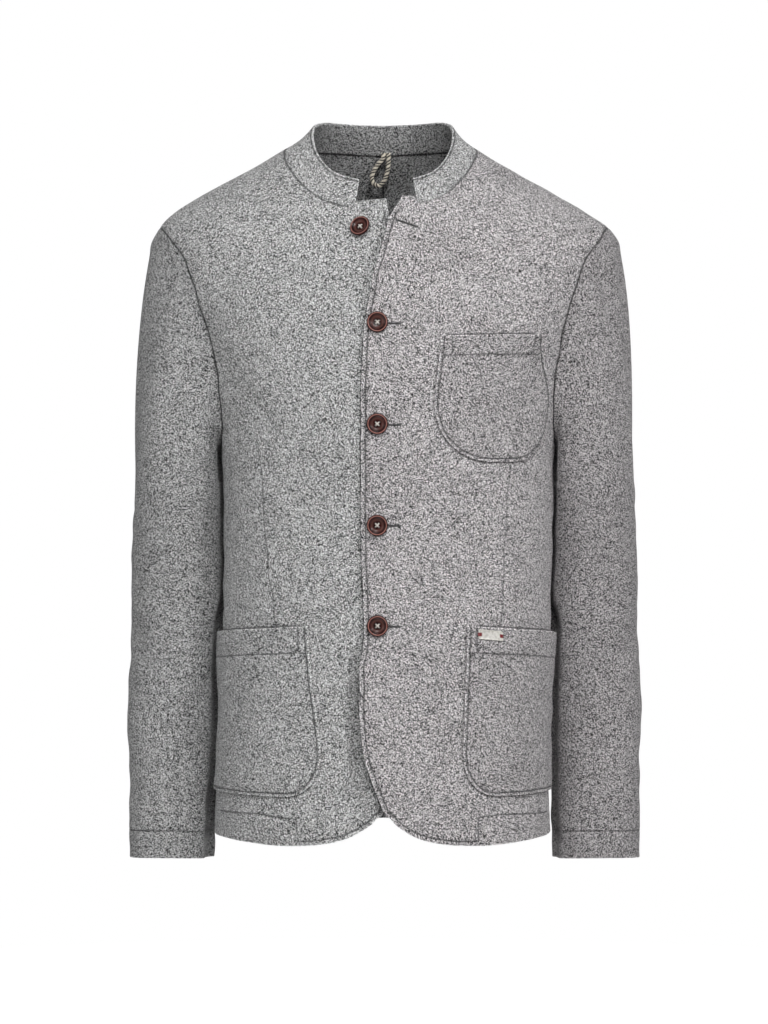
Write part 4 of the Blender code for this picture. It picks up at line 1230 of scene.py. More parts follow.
def clear_of_body(points, least, held, side):
    """Pushes points out so that they stay off the body: a soft maximum of the gap and the least one."""
    height = points[..., 2]
    shift = side * read(BODY, "shift", height)
    across = points[..., 0] - shift
    angle = np.arctan2(points[..., 1], across)
    pocket = ease((POCKET_FROM - angle) / POCKET_FADE) * ease((POCKET_TOP - height) / POCKET_LEAD)
    form = body_form(angle, height, side)
    limit = np.hypot(form[..., 0] - shift, form[..., 1])
    spare = np.hypot(across, points[..., 1]) - limit - least - POCKET_ROOM * pocket
    push = (np.hypot(spare, PUSH_BLEND) - spare) / 2 * held
    return points + push[..., None] * np.stack([np.cos(angle), np.sin(angle), 0 * angle], -1)


def sleeve_tube(turn, height, side):
    """Outer face of a sleeve below the arm; turn 0 is outside, 90 the front, 180 next to the body."""
    radius = rounded(turn, read(SLEEVE, "half_width", height), read(SLEEVE, "half_depth", height),
                     read(SLEEVE, "squareness", height))
    radius = radius - folds(SLEEVE_FOLDS, "turn", turn, height, radius)
    swing = turn - read(SLEEVE, "turn", height)
    x, y = radius * np.cos(swing), -radius * np.sin(swing)
    grow = 1 + ripple(x * side + RIPPLE_SHIFT, y, height) / radius
    x = read(SLEEVE, "centre_x", height) + side * SLEEVE_SHIFT + x * grow
    y = read(SLEEVE, "centre_y", height) + y * grow
    tilt = CUFF_TILT * ease((BICEPS - height) / (BICEPS - CUFF)) * np.sin(turn)
    return clear_of_body(np.stack([x, y, height + tilt], -1), SLEEVE_REST, 1.0, side)


def sleeve_form(turn, run, side):
    """Outer face of a sleeve: 0 to 1 is a curve from the armhole to the biceps that leaves along the
    shoulder and arrives down the arm, 1 to 2 is the tube to the cuff."""
    angle, height = armhole(turn)
    start, normal = body_point(angle, height, side)
    ahead_angle, ahead_height = armhole(turn + TURN_STEP)
    into = unit(np.cross(normal, body_form(ahead_angle, ahead_height, side) - start))
    start = start + SEAM * into
    bend = math.pi / 2 * ((1 - np.cos(turn)) / 2)[..., None] ** HEAD_BEND
    leave = np.cos(bend) * into + np.sin(bend) * normal
    end = sleeve_tube(turn, BICEPS + 0 * turn, side)
    below = sleeve_tube(turn, BICEPS - 1 * MM + 0 * turn, side)
    span = np.linalg.norm(end - start, axis=-1, keepdims=True)
    t = np.clip(run, 0.0, 1.0)[..., None]
    leave, arrive = leave * span * HEAD_LEAVE, unit(below - end) * span
    head = (1 + 2 * t) * (1 - t) ** 2 * start + t * (1 - t) ** 2 * leave
    head = head + t**2 * (3 - 2 * t) * end + t**2 * (t - 1) * arrive
    head = clear_of_body(head, SLEEVE_REST * ease(run), np.clip(run * HEAD_ROWS, 0, 1), side)
    tube = sleeve_tube(turn, BICEPS + (run - 1) * (CUFF - BICEPS), side)
    return np.where((run <= 1)[..., None], head, tube)


def run_of(share):
    """Share of a sleeve's length to its run: the head takes HEAD_SHARE of it."""
    return np.where(share < HEAD_SHARE, share / HEAD_SHARE, 1 + (share - HEAD_SHARE) / (1 - HEAD_SHARE))


CUFF_STITCH, SHUT_SEAM, SIDE_NAMES = 28 * MM, 0.45, {1: "left", -1: "right"}
SLEEVE_HEM = np.array([0, 0.3, 0.75, 1.3, 2.4, 4.4, 10, 18, 25, 27.2, 28, 28.8, 31]) * MM


def make_sleeve(name, side, first, last, finish):
    """From one long seam to the other, with the cuff's stitches CUFF_STITCH above its edge."""
    inset = SEAM / 2 / SLEEVE_RADIUS
    corner = [(first + inset, 0.0), (last - inset, 0.0), (first + inset, 1.0), (last - inset, 1.0)]
    low, right, left, high = [np.array(c) for c in corner]
    run_edge = lambda a, b: a + FINE[:, None] * (b - a)
    edges = run_edge(low, right), run_edge(left, high), run_edge(low, left), run_edge(right, high)
    form = lambda turn, run: sleeve_form(turn, run, side)
    surface = lambda plane: form(plane[..., 0], np.clip(run_of(plane[..., 1]), 0, 2))
    s, t = shares(edges, surface, (PLAIN_EDGE, SLEEVE_HEM, PLAIN_EDGE, PLAIN_EDGE))
    plane = patch(edges, s, t)
    face = surface(plane), facing(form, plane[..., 0], np.clip(run_of(plane[..., 1]), SMALL_STEP, 2))
    around = np.linspace(first + inset, last - inset, HEM_POINTS)
    up = 2 - CUFF_STITCH / (BICEPS - CUFF) + 0 * around
    hem = form(around, up), facing(form, around, up)
    make_panel(name, side, face, [(hem[0], 1.0)], (1, 0, SHUT_SEAM, SHUT_SEAM),
               [hem], finish)


for side, name in SIDE_NAMES.items():
    make_sleeve(f"top_sleeve_{name}", side, -SLEEVE_SEAM, SLEEVE_SEAM, SHADED_SLEEVE_WOOL[side])
    make_sleeve(f"under_sleeve_{name}", side, SLEEVE_SEAM, 2 * math.pi - SLEEVE_SEAM, SHADED_SLEEVE_WOOL[side])

# %% [markdown]
# The collar is a low stand, two layers sewn round their top edge and turned, so its edge is full and round.
# It is a band from the neck seam to its own top edge, with one form for both halves, which meet at the back.

# %% The collar
COLLAR_TOP = table(
    "angle radius height",
    (-76, 78, -31),
    (-60, 79, -25.5),
    (-50, 78.5, -20),
    (-40, 77.5, -11),
    (-30, 76.5, 0),
    (-20, 75, 12),
    (-10, 73.5, 22.5),
    (0, 72, 31),
    (15, 71.5, 37),
    (40, 71, 41),
    (90, 70, 40.5),
)
COLLAR_HOLLOW, COLLAR_LEAN, COLLAR_TALL, COLLAR_RADIUS = 1.5 * MM, 0.5, 47 * MM, 75 * MM
COLLAR_STITCH, COLLAR_END_LANES, COLLAR_LANES, DRAW_LANES = 3.9 * MM, 7, 96, 8
DRAW_RISE, DRAW_LOW, DRAW_LESS, DRAW_REACH = 0.28, 5.0 * MM, 3.5 * MM, 24 * MM


def collar_form(angle, t, side):
    """The band between the neck seam and the top edge, hollowed by a sine across its height."""
    degrees = np.degrees(angle)
    foot, normal = body_point(angle, smooth(NECKLINE["angle"], NECKLINE["height"], degrees), side)
    radius, height = [read(COLLAR_TOP, column, degrees, "angle") for column in ("radius", "height")]
    top = np.stack([radius * np.cos(angle), radius * np.sin(angle), height], -1)
    foot = foot + SEAM * unit(unit(top - foot) - COLLAR_LEAN * normal)
    t = t[..., None]
    band = (1 - t) * foot + t * top - COLLAR_HOLLOW * np.sin(math.pi * t) * normal
    return band * np.stack([side, 1 + 0 * side, 1 + 0 * side], -1)


def make_collar(name, finish):
    """From the left end round the back to the right end. The right end is cut upright above the front's
    step, so there each row is drawn out towards the middle by an eased amount."""
    halves = []
    for side in (1, -1):
        half = np.linspace(COLLAR_END[side] + NOTCH_GAP / 2, math.pi / 2, COLLAR_LANES)
        near = half[0] + SEWN_EDGE[:COLLAR_END_LANES] / COLLAR_RADIUS
        halves.append(np.concatenate([near[:-1], half[half > near[-1]]]))
    angle = np.concatenate([halves[0], halves[1][-2::-1]])
    side = np.concatenate([1.0 + 0 * halves[0], -1.0 + 0 * halves[1][:-1]])
    share = lanes(COLLAR_TALL, PLAIN_EDGE, SEWN_EDGE)[0]
    angle, share = np.meshgrid(angle, share)
    outer = collar_form(angle, share, np.broadcast_to(side, angle.shape))
    gap = np.linalg.norm(outer - outer[:, -1:], axis=2)
    near = np.clip(1 - gap / DRAW_REACH, 0, 1)
    draw = ease(share / DRAW_RISE) * (DRAW_LOW - DRAW_LESS * share) * near**2
    ahead = unit(outer[:, -1:] - outer[:, -DRAW_LANES:1 - DRAW_LANES])
    outer = outer + (draw * (side < 0))[..., None] * ahead
    normals = unit(np.cross(np.gradient(outer, axis=1), np.gradient(outer, axis=0)))
    row = np.abs(share[:, 0] - (1 - COLLAR_STITCH / COLLAR_TALL)).argmin()
    make_panel(name, 1, (outer, normals), [(outer[row, 3:-3], 1.0)], (1, 0, 0, 0),
               [(outer[row], normals[row])], finish, COLLAR_CLOTH)


make_collar("collar", WOOL)

# %% [markdown]
# A pocket is cut to its outline and laid on the front, a small gap above it. Its mouth is turned in and
# stitched down as a band, and stands off a little, most where a hand goes in. A bar of close stitches down
# the band holds each end of the mouth; the two bars run opposite ways, each against the row beside it, so
# that the signed distance keeps its sign between them.

# %% The pockets
POCKET_STITCH, TACK_FROM, BAND_INSET = 3.2 * MM, 1.2, 16
SWAY_BEND, TACK_POINTS = 1.5, 18


def on_pocket(plane, side, shape, s, t):
    """Outer face of a pocket: the front's face moved out, and away from it towards the mouth, by a share
    that grows to the far end or else is a sine with its top in the middle."""
    most, reach, far = shape["bulge"]
    sway = far * ease(s**SWAY_BEND) + (1 - far) * np.sin(math.pi * s)
    bulge = most * MM * ease((t - 1 + reach) / reach) * sway
    return on_cloth(plane, side, REST_GAP + CLOTH + bulge)


def tack(side, shape, across):
    """Points and normals down a pocket's band, at a distance from the middle of the front."""
    _, mouth, low, _ = pocket_edges(**shape)
    top = np.interp(across * MM, mouth[:, 0], mouth[:, 1])
    height = top - np.linspace(TACK_FROM, shape["band"], TACK_POINTS) * MM
    plane = np.stack([across * MM + 0 * height, height], -1)
    s = np.clip((plane[:, 0] - mouth[0, 0]) / np.ptp(mouth[:, 0]), 0, 1)
    return on_pocket(plane, side, shape, s, 1 + (height - top) / np.ptp(low[:, 1]))


def make_pocket(name, side, shape, finish):
    """A pocket with a row of stitches inside its outline, one along its band and a bar at each end."""
    edges = pocket_edges(**shape)
    form = lambda plane: on_cloth(plane, side)[0]
    s, t = shares(edges, form, (SEWN_EDGE, PLAIN_EDGE, SEWN_EDGE, SEWN_EDGE))
    outline = outline_of(edges)
    least, spread = outline.min(0), np.ptp(outline, axis=0)
    inner = moved_in(outline, POCKET_STITCH)
    band = (edges[1] - [0, shape["band"] * MM])[BAND_INSET:-BAND_INSET]
    first, last = [tack(side, shape, across) for across in shape["tacks"]]
    rows = [on_pocket(line, side, shape, *np.clip((line - least) / spread, 0, 1).T)
            for line in (inner, band)]
    rows += [(first[0][::-1], first[1][::-1]), last]
    face = on_pocket(patch(edges, s, t), side, shape, s, t)
    drawn = [(points, 1.0) for points, _ in rows]
    make_panel(name, side, face, drawn, (0, 0, 0, 0), rows, finish)


make_pocket("pocket_chest", 1, CHEST_POCKET, SHADED_POCKET_WOOL[1])
make_pocket("pocket_left", 1, HIP_LEFT, SHADED_POCKET_WOOL[1])
make_pocket("pocket_right", -1, HIP_RIGHT, SHADED_POCKET_WOOL[-1])

# %% [markdown]
# The thread is a matt polyester a shade darker than the cloth. Its twist is drawn as a wave across the
# object's own coordinates, used both as two shades of colour, the darker one painted shade between the
# plies, and as a fine bump.

# %% The twist group
def twist_group():
    """Ply is a sine wave along the diagonal, bent a little by noise."""
    tree, given, out = group(
        "twist", [("Vector", "NodeSocketVector", None), ("Scale", "NodeSocketFloat", 900.0)],
        [("Ply", "NodeSocketFloat")],
    )
    wave = add_node(tree, "ShaderNodeTexWave", {"Vector": given["Vector"], "Scale": given["Scale"],
                                                "Distortion": 1.5}, bands_direction="DIAGONAL")
    tree.links.new(wave.outputs["Fac"], out["Ply"])
    return tree


twist_of = twist_group()
print("twist group:", len(twist_of.nodes), "nodes")

# %% Thread materials
def thread(name, colour, darker):
    """Thread in two shades, the darker one painted shade between the plies."""
    made, tree, shader = new_material(name, Roughness=0.62, Sheen_Weight=0.2, Sheen_Roughness=0.5)
    ply = use_group(tree, twist_of, {"Vector": own_place(tree)})["Ply"]
    # The ramp's darker end is painted shade in the grooves between the plies.
    finish_with(tree, shader, ramp(tree, ply, (0.0, darker), (1.0, colour)), ply, 0.5, 0.1 * MM)
    return made


GREY_THREAD = thread("thread_grey", (0.085, 0.085, 0.086), (0.03, 0.03, 0.031))
for owner, sets in stitch_sets.items():
    dress_sewing(f"stitches_{owner}", stitch_mesh(f"stitches_{owner}", sets), GREY_THREAD)
print("stitches:", sum(len(s) for sets in stitch_sets.values() for s in sets))

# %% [markdown]
# The buttons look like polished horn: dark red-brown with a raised rim, paler by a painted highlight, a
# dished middle and four holes. A turned profile is carried round by arrays, and four drills cut the holes
# with a Boolean, as on a lathe. Each takes its place and tilt from the imported button: the middle of its
# points, and the direction in which they spread least.

# %% Horn
# The third colour is the pale of a painted highlight on the rim and the ring inside it.
HORN_DARK, HORN_RED, HORN_HIGHLIGHT = (0.006, 0.0015, 0.0013), (0.048, 0.006, 0.005), (0.66, 0.30, 0.25)


def horn_material():
    """Horn in two dark reds that swirl into each other, paler on the rim and the ring inside it by a painted
    highlight, with faint scratches.
    """
    made, tree, shader = new_material(
        "button_horn", Roughness=0.3, Coat_Weight=0.12, Coat_Roughness=0.1, Specular_IOR_Level=0.25,
    )
    place = own_place(tree)
    grain = noise(tree, place, 160.0, 5.0, Distortion=1.2).outputs["Fac"]
    body = ramp(tree, grain, (0.32, HORN_DARK), (0.72, HORN_RED))
    scratch = noise(tree, place, 2400.0, 3.0).outputs["Fac"]
    # Paler where the rim value is high: a painted highlight.
    highlighted = blend(tree, value_of(tree, "rim"), body, HORN_HIGHLIGHT)
    finish_with(tree, shader, highlighted, scratch, 0.12, 0.2 * MM)
    return made


HORN = horn_material()
print("horn:", len(HORN.node_tree.nodes), "nodes")

# %% The buttons
BUTTON_PROFILE = np.array([
    (0, 0), (7.3, 0), (9.0, 0.35), (10.1, 1.1), (10.7, 2.1), (10.55, 3.1), (10.1, 3.7), (9.7, 3.92),
    (9.4, 4.0), (9.1, 3.98), (8.8, 3.85), (8.3, 3.35), (8.0, 2.95), (7.6, 2.85), (7.2, 3.05), (6.9, 3.0),
    (6.3, 2.5), (5.2, 2.05), (3.6, 1.85), (0, 1.8),
]) * MM
HOLES_AT, HOLE_RADIUS, DRILL_REACH, DRILL_SIDES = 2.7 * MM, 1.0 * MM, (-2 * MM, 6 * MM), 20
SHARP_FROM = math.radians(40)


def turned(name, profile, sides=64):
    """A profile of radius and height carried round the axis; its first and last points are the poles."""
    turn = np.linspace(0, 2 * math.pi, sides, endpoint=False)
    ring = profile[1:-1]
    points = np.stack([ring[:, :1] * np.cos(turn), ring[:, :1] * np.sin(turn), ring[:, 1:] + 0 * turn], -1)
    faces = grid_faces(len(ring), sides, around=True)
    count = points.shape[0] * sides
    loop = np.arange(sides)
    poles = [(0, 0, profile[0, 1]), (0, 0, profile[-1, 1])]
    low = np.stack([loop, np.full(sides, count), np.roll(loop, -1)], -1)
    high = np.stack([loop + count - sides, np.roll(loop, -1) + count - sides, np.full(sides, count + 1)], -1)
    mesh = bpy.data.meshes.new(name)
    everything = np.concatenate([points.reshape(-1, 3), poles])
    mesh.from_pydata(everything.tolist(), [], faces.tolist() + low.tolist() + high.tolist())
    mesh.shade_smooth()
    return mesh


def drilled(mesh):
    """The mesh with four round holes, cut one after another."""
    blank, drills = add_object("blank", mesh), []
    low, high = DRILL_REACH
    profile = np.array([(0, low), (HOLE_RADIUS, low), (HOLE_RADIUS, high), (0, high)])
    for i in range(4):
        turn = math.pi / 4 + i * math.pi / 2
        drill = add_object(f"drill_{i}", turned(f"drill_{i}", profile, DRILL_SIDES))
        drill.data.transform(Matrix.Translation((HOLES_AT * math.cos(turn), HOLES_AT * math.sin(turn), 0)))
        cut = blank.modifiers.new(f"hole_{i}", "BOOLEAN")
        cut.object, cut.operation, cut.solver = drill, "DIFFERENCE", "EXACT"
        drills.append(drill)
    graph = bpy.context.evaluated_depsgraph_get()
    made = bpy.data.meshes.new_from_object(blank.evaluated_get(graph))
    for obj in [blank, *drills]:
        bpy.data.objects.remove(obj)
    made.shade_smooth()
    made.set_sharp_from_angle(angle=SHARP_FROM)
    return made


def points_of(mesh):
    """The points of a mesh as an array."""
    points = np.zeros(len(mesh.vertices) * 3)
    mesh.vertices.foreach_get("co", points)
    return points.reshape(-1, 3)


def seat_of(name):
    """Middle of a packed button's back, and its sideways, upward and outward directions: outward is the
    eigenvector of the smallest spread."""
    points = points_of(frame["nodes"][name].data)
    middle = (points.min(0) + points.max(0)) / 2
    spread = np.linalg.eigh(np.cov((points - points.mean(0)).T))[1]
    out = spread[:, 0] * -np.sign(spread[1, 0])
    beside = unit(np.cross((0, 0, 1), out))
    up = np.cross(out, beside)
    depth = (points - middle) @ out
    across = [(points - middle) @ way for way in (beside, up)]
    centre = middle + sum((a.min() + a.max()) / 2 * way for a, way in zip(across, (beside, up)))
    return centre + depth.min() * out, np.stack([beside, up, out])


button = drilled(turned("button", BUTTON_PROFILE))
print("button:", len(button.polygons), "faces")

# %% [markdown]
# Thread and cord are tubes along a line. The thread crosses over between a button's four holes, dips into
# them, and is pale against the horn. On the button's rim and on the ring inside it, a bell curve of the
# radius paints a highlight: the horn is paler there.

# %% Tubes
ODD_WAY = (0.3, 0.5, 0.8)


def tube(points, radius, sides=8):
    """A tube along a line: rings square to it, from a sideways direction carried along without twist. The
    first one is square to the line and to an odd direction that no line here starts in."""
    ahead = unit(np.gradient(points, axis=0))
    beside = np.zeros_like(points)
    way = np.cross(ahead[0], ODD_WAY)
    for i, forward in enumerate(ahead):
        way = way - (way @ forward) * forward
        way = way / np.linalg.norm(way)
        beside[i] = way
    up = np.cross(ahead, beside)
    turn = np.linspace(0, 2 * math.pi, sides, endpoint=False)
    ring = np.cos(turn)[:, None] * beside[:, None] + np.sin(turn)[:, None] * up[:, None]
    return points[:, None] + np.asarray(radius).reshape(-1, 1, 1) * ring


def tube_mesh(name, tubes):
    """Several tubes as one mesh, each closed at both ends by a fan."""
    points, faces, start = [], [], 0
    for rings in tubes:
        rows, sides = rings.shape[:2]
        count = rows * sides
        points += [rings.reshape(-1, 3), rings[:1].mean(1), rings[-1:].mean(1)]
        loop = np.arange(sides)
        wall_faces = grid_faces(rows, sides, around=True)
        first = np.stack([loop, np.roll(loop, -1), np.full(sides, count)], -1)
        last = [np.roll(loop, -1) + count - sides, loop + count - sides, np.full(sides, count + 1)]
        tris = np.concatenate([wall_faces[:, [0, 1, 2]], wall_faces[:, [0, 2, 3]]])
        faces.append(np.concatenate([tris, first, np.stack(last, -1)]) + start)
        start += count + 2
    return mesh_of(name, np.concatenate(points), np.concatenate(faces))


PALE_THREAD = thread("thread_pale", (0.88, 0.85, 0.8), (0.6, 0.55, 0.5))
print("pale thread:", len(PALE_THREAD.node_tree.nodes), "nodes")

# %% The buttons in their places
# Share, radius and width of each ring of painted highlight on a button.
RIM_HIGHLIGHTS = ((0.9, 9.2 * MM, 0.3 * MM), (0.14, 5.6 * MM, 1.0 * MM))
STRANDS, STRAND_RADIUS, STRAND_FOOT = np.array([-0.5, 0.0, 0.5]) * MM, 0.27 * MM, 1.85 * MM
STRAND_RISE, STRAND_LAYER, STRAND_DIP = 0.5 * MM, 0.4 * MM, 2.6 * MM
STRAND_POINTS, STRAND_SIDES, STRAND_END = 15, 6, 0.97


def place_button(i):
    """The turned button in its seat, and the thread that crosses over between its holes."""
    name = f"button_{i}"
    origin, axes = seat_of(name)
    mesh = button.copy()
    local = points_of(mesh)
    radius = np.hypot(local[:, 0], local[:, 1])
    # The rim value marks where the painted highlight pales the horn.
    rim = sum(share * np.exp(-(((radius - at) / wide) ** 2)) for share, at, wide in RIM_HIGHLIGHTS)
    set_values(mesh, "rim", np.clip(rim, 0, 1))
    mesh.vertices.foreach_set("co", (origin + local @ axes).ravel())
    mesh.update()
    dress(f"horn_{name}", mesh, HORN, name)
    strands, t = [], np.linspace(-1, 1, STRAND_POINTS)
    for layer, turn in enumerate((math.pi / 4, 3 * math.pi / 4)):
        height = STRAND_FOOT + (STRAND_RISE + STRAND_LAYER * layer) * (1 - t**4)
        height = height - STRAND_DIP * (np.abs(t) > STRAND_END)
        for shift in STRANDS:
            x, y = t * HOLES_AT, shift + 0 * t
            across, up = x * math.cos(turn) - y * math.sin(turn), x * math.sin(turn) + y * math.cos(turn)
            line = origin + np.stack([across, up, height], -1) @ axes
            strands.append(tube(line, STRAND_RADIUS, STRAND_SIDES))
    dress_sewing(f"thread_{name}", tube_mesh(f"thread_{name}", strands), PALE_THREAD)


for i in range(1, 6):
    place_button(i)
print("buttons placed")

# %% [markdown]
# A buttonhole is worked in the left front: a slit with an eye at one end, its lips bound with close
# stitches laid square to it. Here short tubes lie on both sides of the slit and in a fan round its eye, and
# the slit itself is a near-black tube between them, a painted shadow of the cut.

# %% Buttonholes
HOLE_STITCH = thread("thread_buttonhole", (0.17, 0.17, 0.171), (0.06, 0.06, 0.061))
# The second material is no real thread: it is the painted shadow inside the slit.
SLIT_SHADOW = thread("thread_slit", (0.012, 0.012, 0.012), (0.004, 0.004, 0.004))
BAR_RADIUS, BAR_HEIGHTS = 0.22 * MM, np.array([-0.35, 0.22, 0.2, -0.3]) * MM
LIP, EYE, EYE_TURNS = (0.3 * MM, 1.15 * MM), (0.4 * MM, 1.4 * MM), np.linspace(-1.3, 1.3, 7)
SLIT_RADIUS, SLIT_RISE, BAR_SIDES = 0.36 * MM, 0.05 * MM, 5


def bar(start, way, out, reach):
    """A short tube that leaves a point sideways and dips into the cloth at both ends."""
    line = start + np.linspace(*reach, len(BAR_HEIGHTS))[:, None] * way + BAR_HEIGHTS[:, None] * out
    return tube(line, BAR_RADIUS, BAR_SIDES)


def buttonhole(centre_line, ways):
    """Bars square to the slit on both sides of it and a few round its eye, just above the cloth."""
    ahead = unit(np.gradient(centre_line, axis=0))
    beside = np.cross(ways, ahead)
    bars = [bar(at, sign * way, out, LIP)
            for sign in (-1, 1) for at, way, out in zip(centre_line, beside, ways)]
    fan = [math.cos(turn) * -ahead[0] + math.sin(turn) * beside[0] for turn in EYE_TURNS]
    return bars + [bar(centre_line[0], way, ways[0], EYE) for way in fan]


bars, slit_shadows = [], []
for start, end in BUTTONHOLES:
    across, height = (np.linspace(a, b, 42) * MM for a, b in zip(start, end))
    line, ways = at_front(across, height, 1)
    bars += buttonhole(line, ways)
    # A near-black tube along the slit: painted shadow of the cut.
    slit_shadows.append(tube(line + SLIT_RISE * ways, SLIT_RADIUS, 6))
dress_sewing("buttonholes", tube_mesh("buttonholes", bars), HOLE_STITCH)
dress_sewing("buttonhole_slits", tube_mesh("buttonhole_slits", slit_shadows), SLIT_SHADOW)
print("buttonholes:", len(bars), "bars")

# %% [markdown]
# The small plate on the left pocket's band is stamped metal, left bare, held by red thread at both ends. It
# is a thin wall like the cloth, with its middle pressed in and its ends cut round.

# %% The plate
PLATE_LONG, PLATE_TALL, PLATE_THICK, PLATE_TILT = 27 * MM, 10 * MM, 1.0 * MM, -0.11
PLATE_CORNER = HIP_LEFT["left"][0] * MM + 10.8 * MM, HIP_LEFT["top"][0] * MM - 3 * MM
PLATE_GAP, PLATE_ROUND, BORDER, PRESSED = 0.9 * MM, 1.8 * MM, 0.9 * MM, 0.28 * MM
PLATE_HOLES, PLATE_HOLE_RADIUS = (3.6 * MM, 23.4 * MM), 1.0 * MM
PLATE_EDGE = np.array([0, 0.15, 0.35, 0.7, 1.1, 1.5, 1.9, 2.6, 3.2, 3.8, 4.4]) * MM


def plate_material():
    """Dull metal brushed along its length, cloudy with patina, and painted dark where its two uncut holes
    are, as painted shade.
    """
    made, tree, shader = new_material("plate_metal", Metallic=0.35, Roughness=0.38)
    place = own_place(tree)
    brushed = noise(tree, stretched(tree, place, (0.12, 1.0, 1.0)), 3200.0, 4.0).outputs["Fac"]
    patina = noise(tree, place, 420.0, 4.0).outputs["Fac"]
    metal = ramp(tree, patina, (0.3, (0.62, 0.60, 0.54)), (0.62, (0.92, 0.90, 0.85)))
    rough = add_node(tree, "ShaderNodeMapRange", {"Value": brushed, "To Min": 0.28, "To Max": 0.5})
    tree.links.new(rough.outputs[0], shader.inputs["Roughness"])
    marked = blend(tree, value_of(tree, "hole"), metal, (0.01, 0.01, 0.01))
    finish_with(tree, shader, marked, brushed, 0.25, 0.1 * MM)
    return made


def on_plate(along, down):
    """A point on the plate's face, at distances from its inner top corner."""
    plane = np.stack([PLATE_CORNER[0] + along, PLATE_CORNER[1] - down + PLATE_TILT * along], -1)
    return on_cloth(plane, 1, REST_GAP + CLOTH + PLATE_GAP + PLATE_THICK)


def make_plate(name):
    """A thin pressed plate with a raised border: the outer face sinks inside the border by an ease."""
    along = lanes(PLATE_LONG, PLATE_EDGE, PLATE_EDGE)[0] * PLATE_LONG
    down = lanes(PLATE_TALL, PLATE_EDGE[:9], PLATE_EDGE[:9])[0][::-1] * PLATE_TALL
    along, down = np.meshgrid(along, down)
    inside = np.minimum.reduce([along, PLATE_LONG - along, down, PLATE_TALL - down])
    close = np.clip(1 - np.minimum(down, PLATE_TALL - down) / PLATE_ROUND, 0, 1)
    inset, half = PLATE_ROUND * (1 - np.sqrt(1 - close**2)), PLATE_LONG / 2
    along = half + (along - half) * (half - inset) / half
    outer, normals = on_plate(along, down)
    outer = outer - PRESSED * ease((inside - BORDER) / (0.5 * MM))[..., None] * normals
    mesh = wall(name, outer, normals, PLATE_THICK)
    # The holes are not cut: the hole value paints them near black, as painted shade.
    apart = [np.hypot(along - x, down - PLATE_TALL / 2) / PLATE_HOLE_RADIUS for x in PLATE_HOLES]
    hole = sum(np.exp(-(share**4)) for share in apart)
    set_values(mesh, "hole", np.tile(hole.ravel(), 2))
    dress(f"metal_{name}", mesh, plate_material(), name)


make_plate("plate")
RED_THREAD = thread("thread_red", (0.36, 0.012, 0.02), (0.14, 0.005, 0.008))
RED_ROWS, RED_LONG, RED_RADIUS = (3.7, 4.4, 5.1, 5.8, 6.4), 3.9 * MM, 0.36 * MM
loops, t = [], np.linspace(0, 1, 11)
for start, way in zip(PLATE_HOLES, (-1, 1)):
    for drop in RED_ROWS:
        points, ways = on_plate(start + way * RED_LONG * t, (drop + 0.25 * np.sin(9 * drop) * t) * MM)
        arch = (0.25 - 0.9 * (1 - t) ** 6 - 1.3 * t**6) * MM
        loops.append(tube(points + arch[:, None] * ways, RED_RADIUS, 6))
dress_sewing("thread_plate", tube_mesh("thread_plate", loops), RED_THREAD)
print("plate and", len(loops), "red threads")

# %% [markdown]
# The hanging loop is a twisted cord of two colours, cream and black, sewn into the neck seam inside the
# back. It is about eight centimetres long and hangs as a drop. Five plies wind round the middle line; each
# is a tube along a helix, so the twist is real in the mesh.

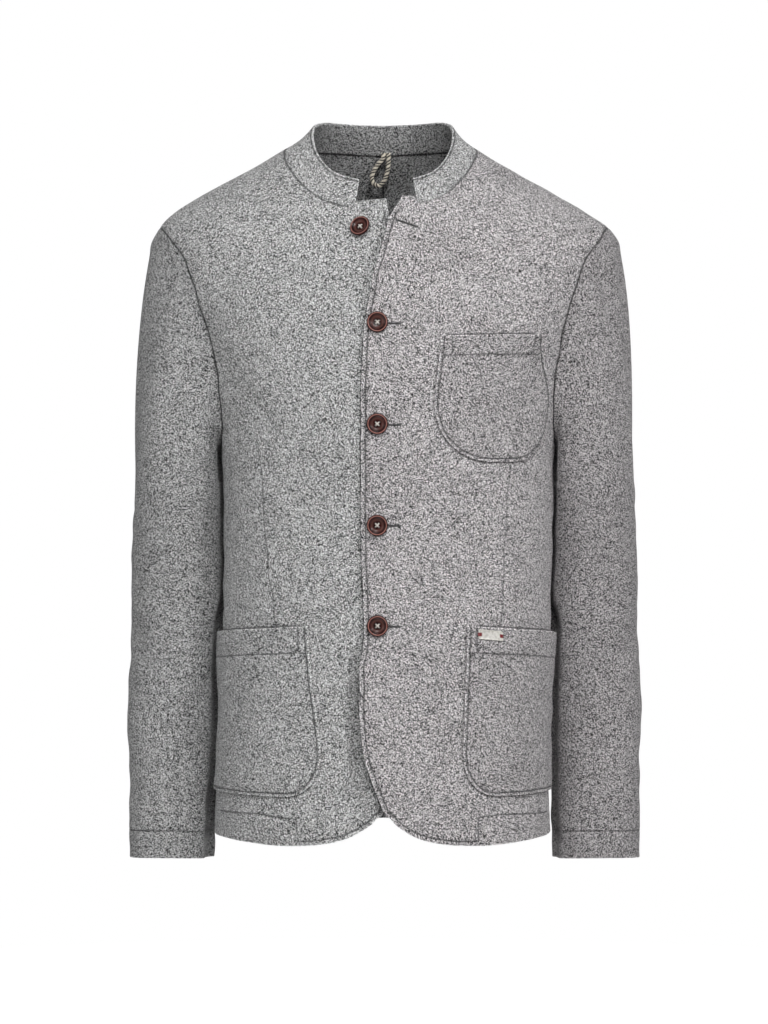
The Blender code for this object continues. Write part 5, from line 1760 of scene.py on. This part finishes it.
# %% The hanging loop
LOOP_ROUTE = np.array([
    (0.6, 69.9, 11.5),
    (0.2, 70.2, 7),
    (-4.6, 71, 1),
    (-9.6, 71.6, -6.5),
    (-11.8, 72, -14),
    (-9.4, 72.4, -20.6),
    (-4.6, 72.5, -22.4),
    (0.6, 72.3, -18),
    (4.2, 71.8, -9),
    (5.6, 71, 0),
    (5.8, 70.2, 7),
    (5.8, 69.9, 11.5),
]) * MM
CORD, CORD_TURNS = 4.8 * MM, 10
PLY_OFFSET, PLY_RADIUS, PLIES_PALE = 0.3 * CORD, 0.2 * CORD, (1.0, 0.0, 1.0, 0.0, 1.0)
CORD_BLACK, CORD_CREAM = (0.012, 0.011, 0.010), (0.86, 0.79, 0.66)


def loop_line(count):
    """The route as a smooth line of equally spaced points."""
    run = run_along(LOOP_ROUTE)
    at = np.linspace(0, run[-1], count)
    return np.stack([hermite(run, p, np.gradient(p, run), at) for p in LOOP_ROUTE.T], -1)


def cord_material():
    """Cream or black by the ply, with fibres that vary the tone and stand up in the bump."""
    made, tree, shader = new_material("loop_cord", Roughness=0.8, Sheen_Weight=0.25)
    fibre = noise(tree, own_place(tree), 1800.0, 3.0).outputs["Fac"]
    ply = ramp(tree, value_of(tree, "ply"), (0.45, CORD_BLACK), (0.55, CORD_CREAM))
    fade = add_node(tree, "ShaderNodeMapRange", {"Value": fibre, "To Min": 0.7, "To Max": 1.2}).outputs[0]
    finish_with(tree, shader, dim(tree, ply, fade), fibre, 0.5, 0.2 * MM)
    return made


def make_loop(name):
    """Each ply is a helix: it goes round the middle line at PLY_OFFSET while it runs along it."""
    line = loop_line(220)
    ring = tube(line, PLY_OFFSET, 4)
    beside, up = unit(ring[:, 0] - line), unit(ring[:, 1] - line)
    twist, plies = np.linspace(0, 2 * math.pi * CORD_TURNS, len(line)), []
    for k in range(len(PLIES_PALE)):
        turn = twist + k * 2 * math.pi / len(PLIES_PALE)
        path = line + PLY_OFFSET * (np.cos(turn)[:, None] * beside + np.sin(turn)[:, None] * up)
        plies.append(tube(path, PLY_RADIUS, 8))
    mesh = tube_mesh(name, plies)
    set_values(mesh, "ply", np.repeat(PLIES_PALE, len(mesh.vertices) // len(plies)))
    piece = dress(f"cord_{name}", mesh, cord_material(), name)


make_loop("hanger_loop")

# %% [markdown]
# Last, the flat cuts of the panels and the triangle counts of the pieces are printed.

# %% Sizes and the end
print("flat cuts:", json.dumps(flat_sizes))
made = [len(obj.data.loops) - 2 * len(obj.data.polygons) for obj in jacket.objects]
print("triangles:", sum(made), "in all and", max(made), "in the largest piece")
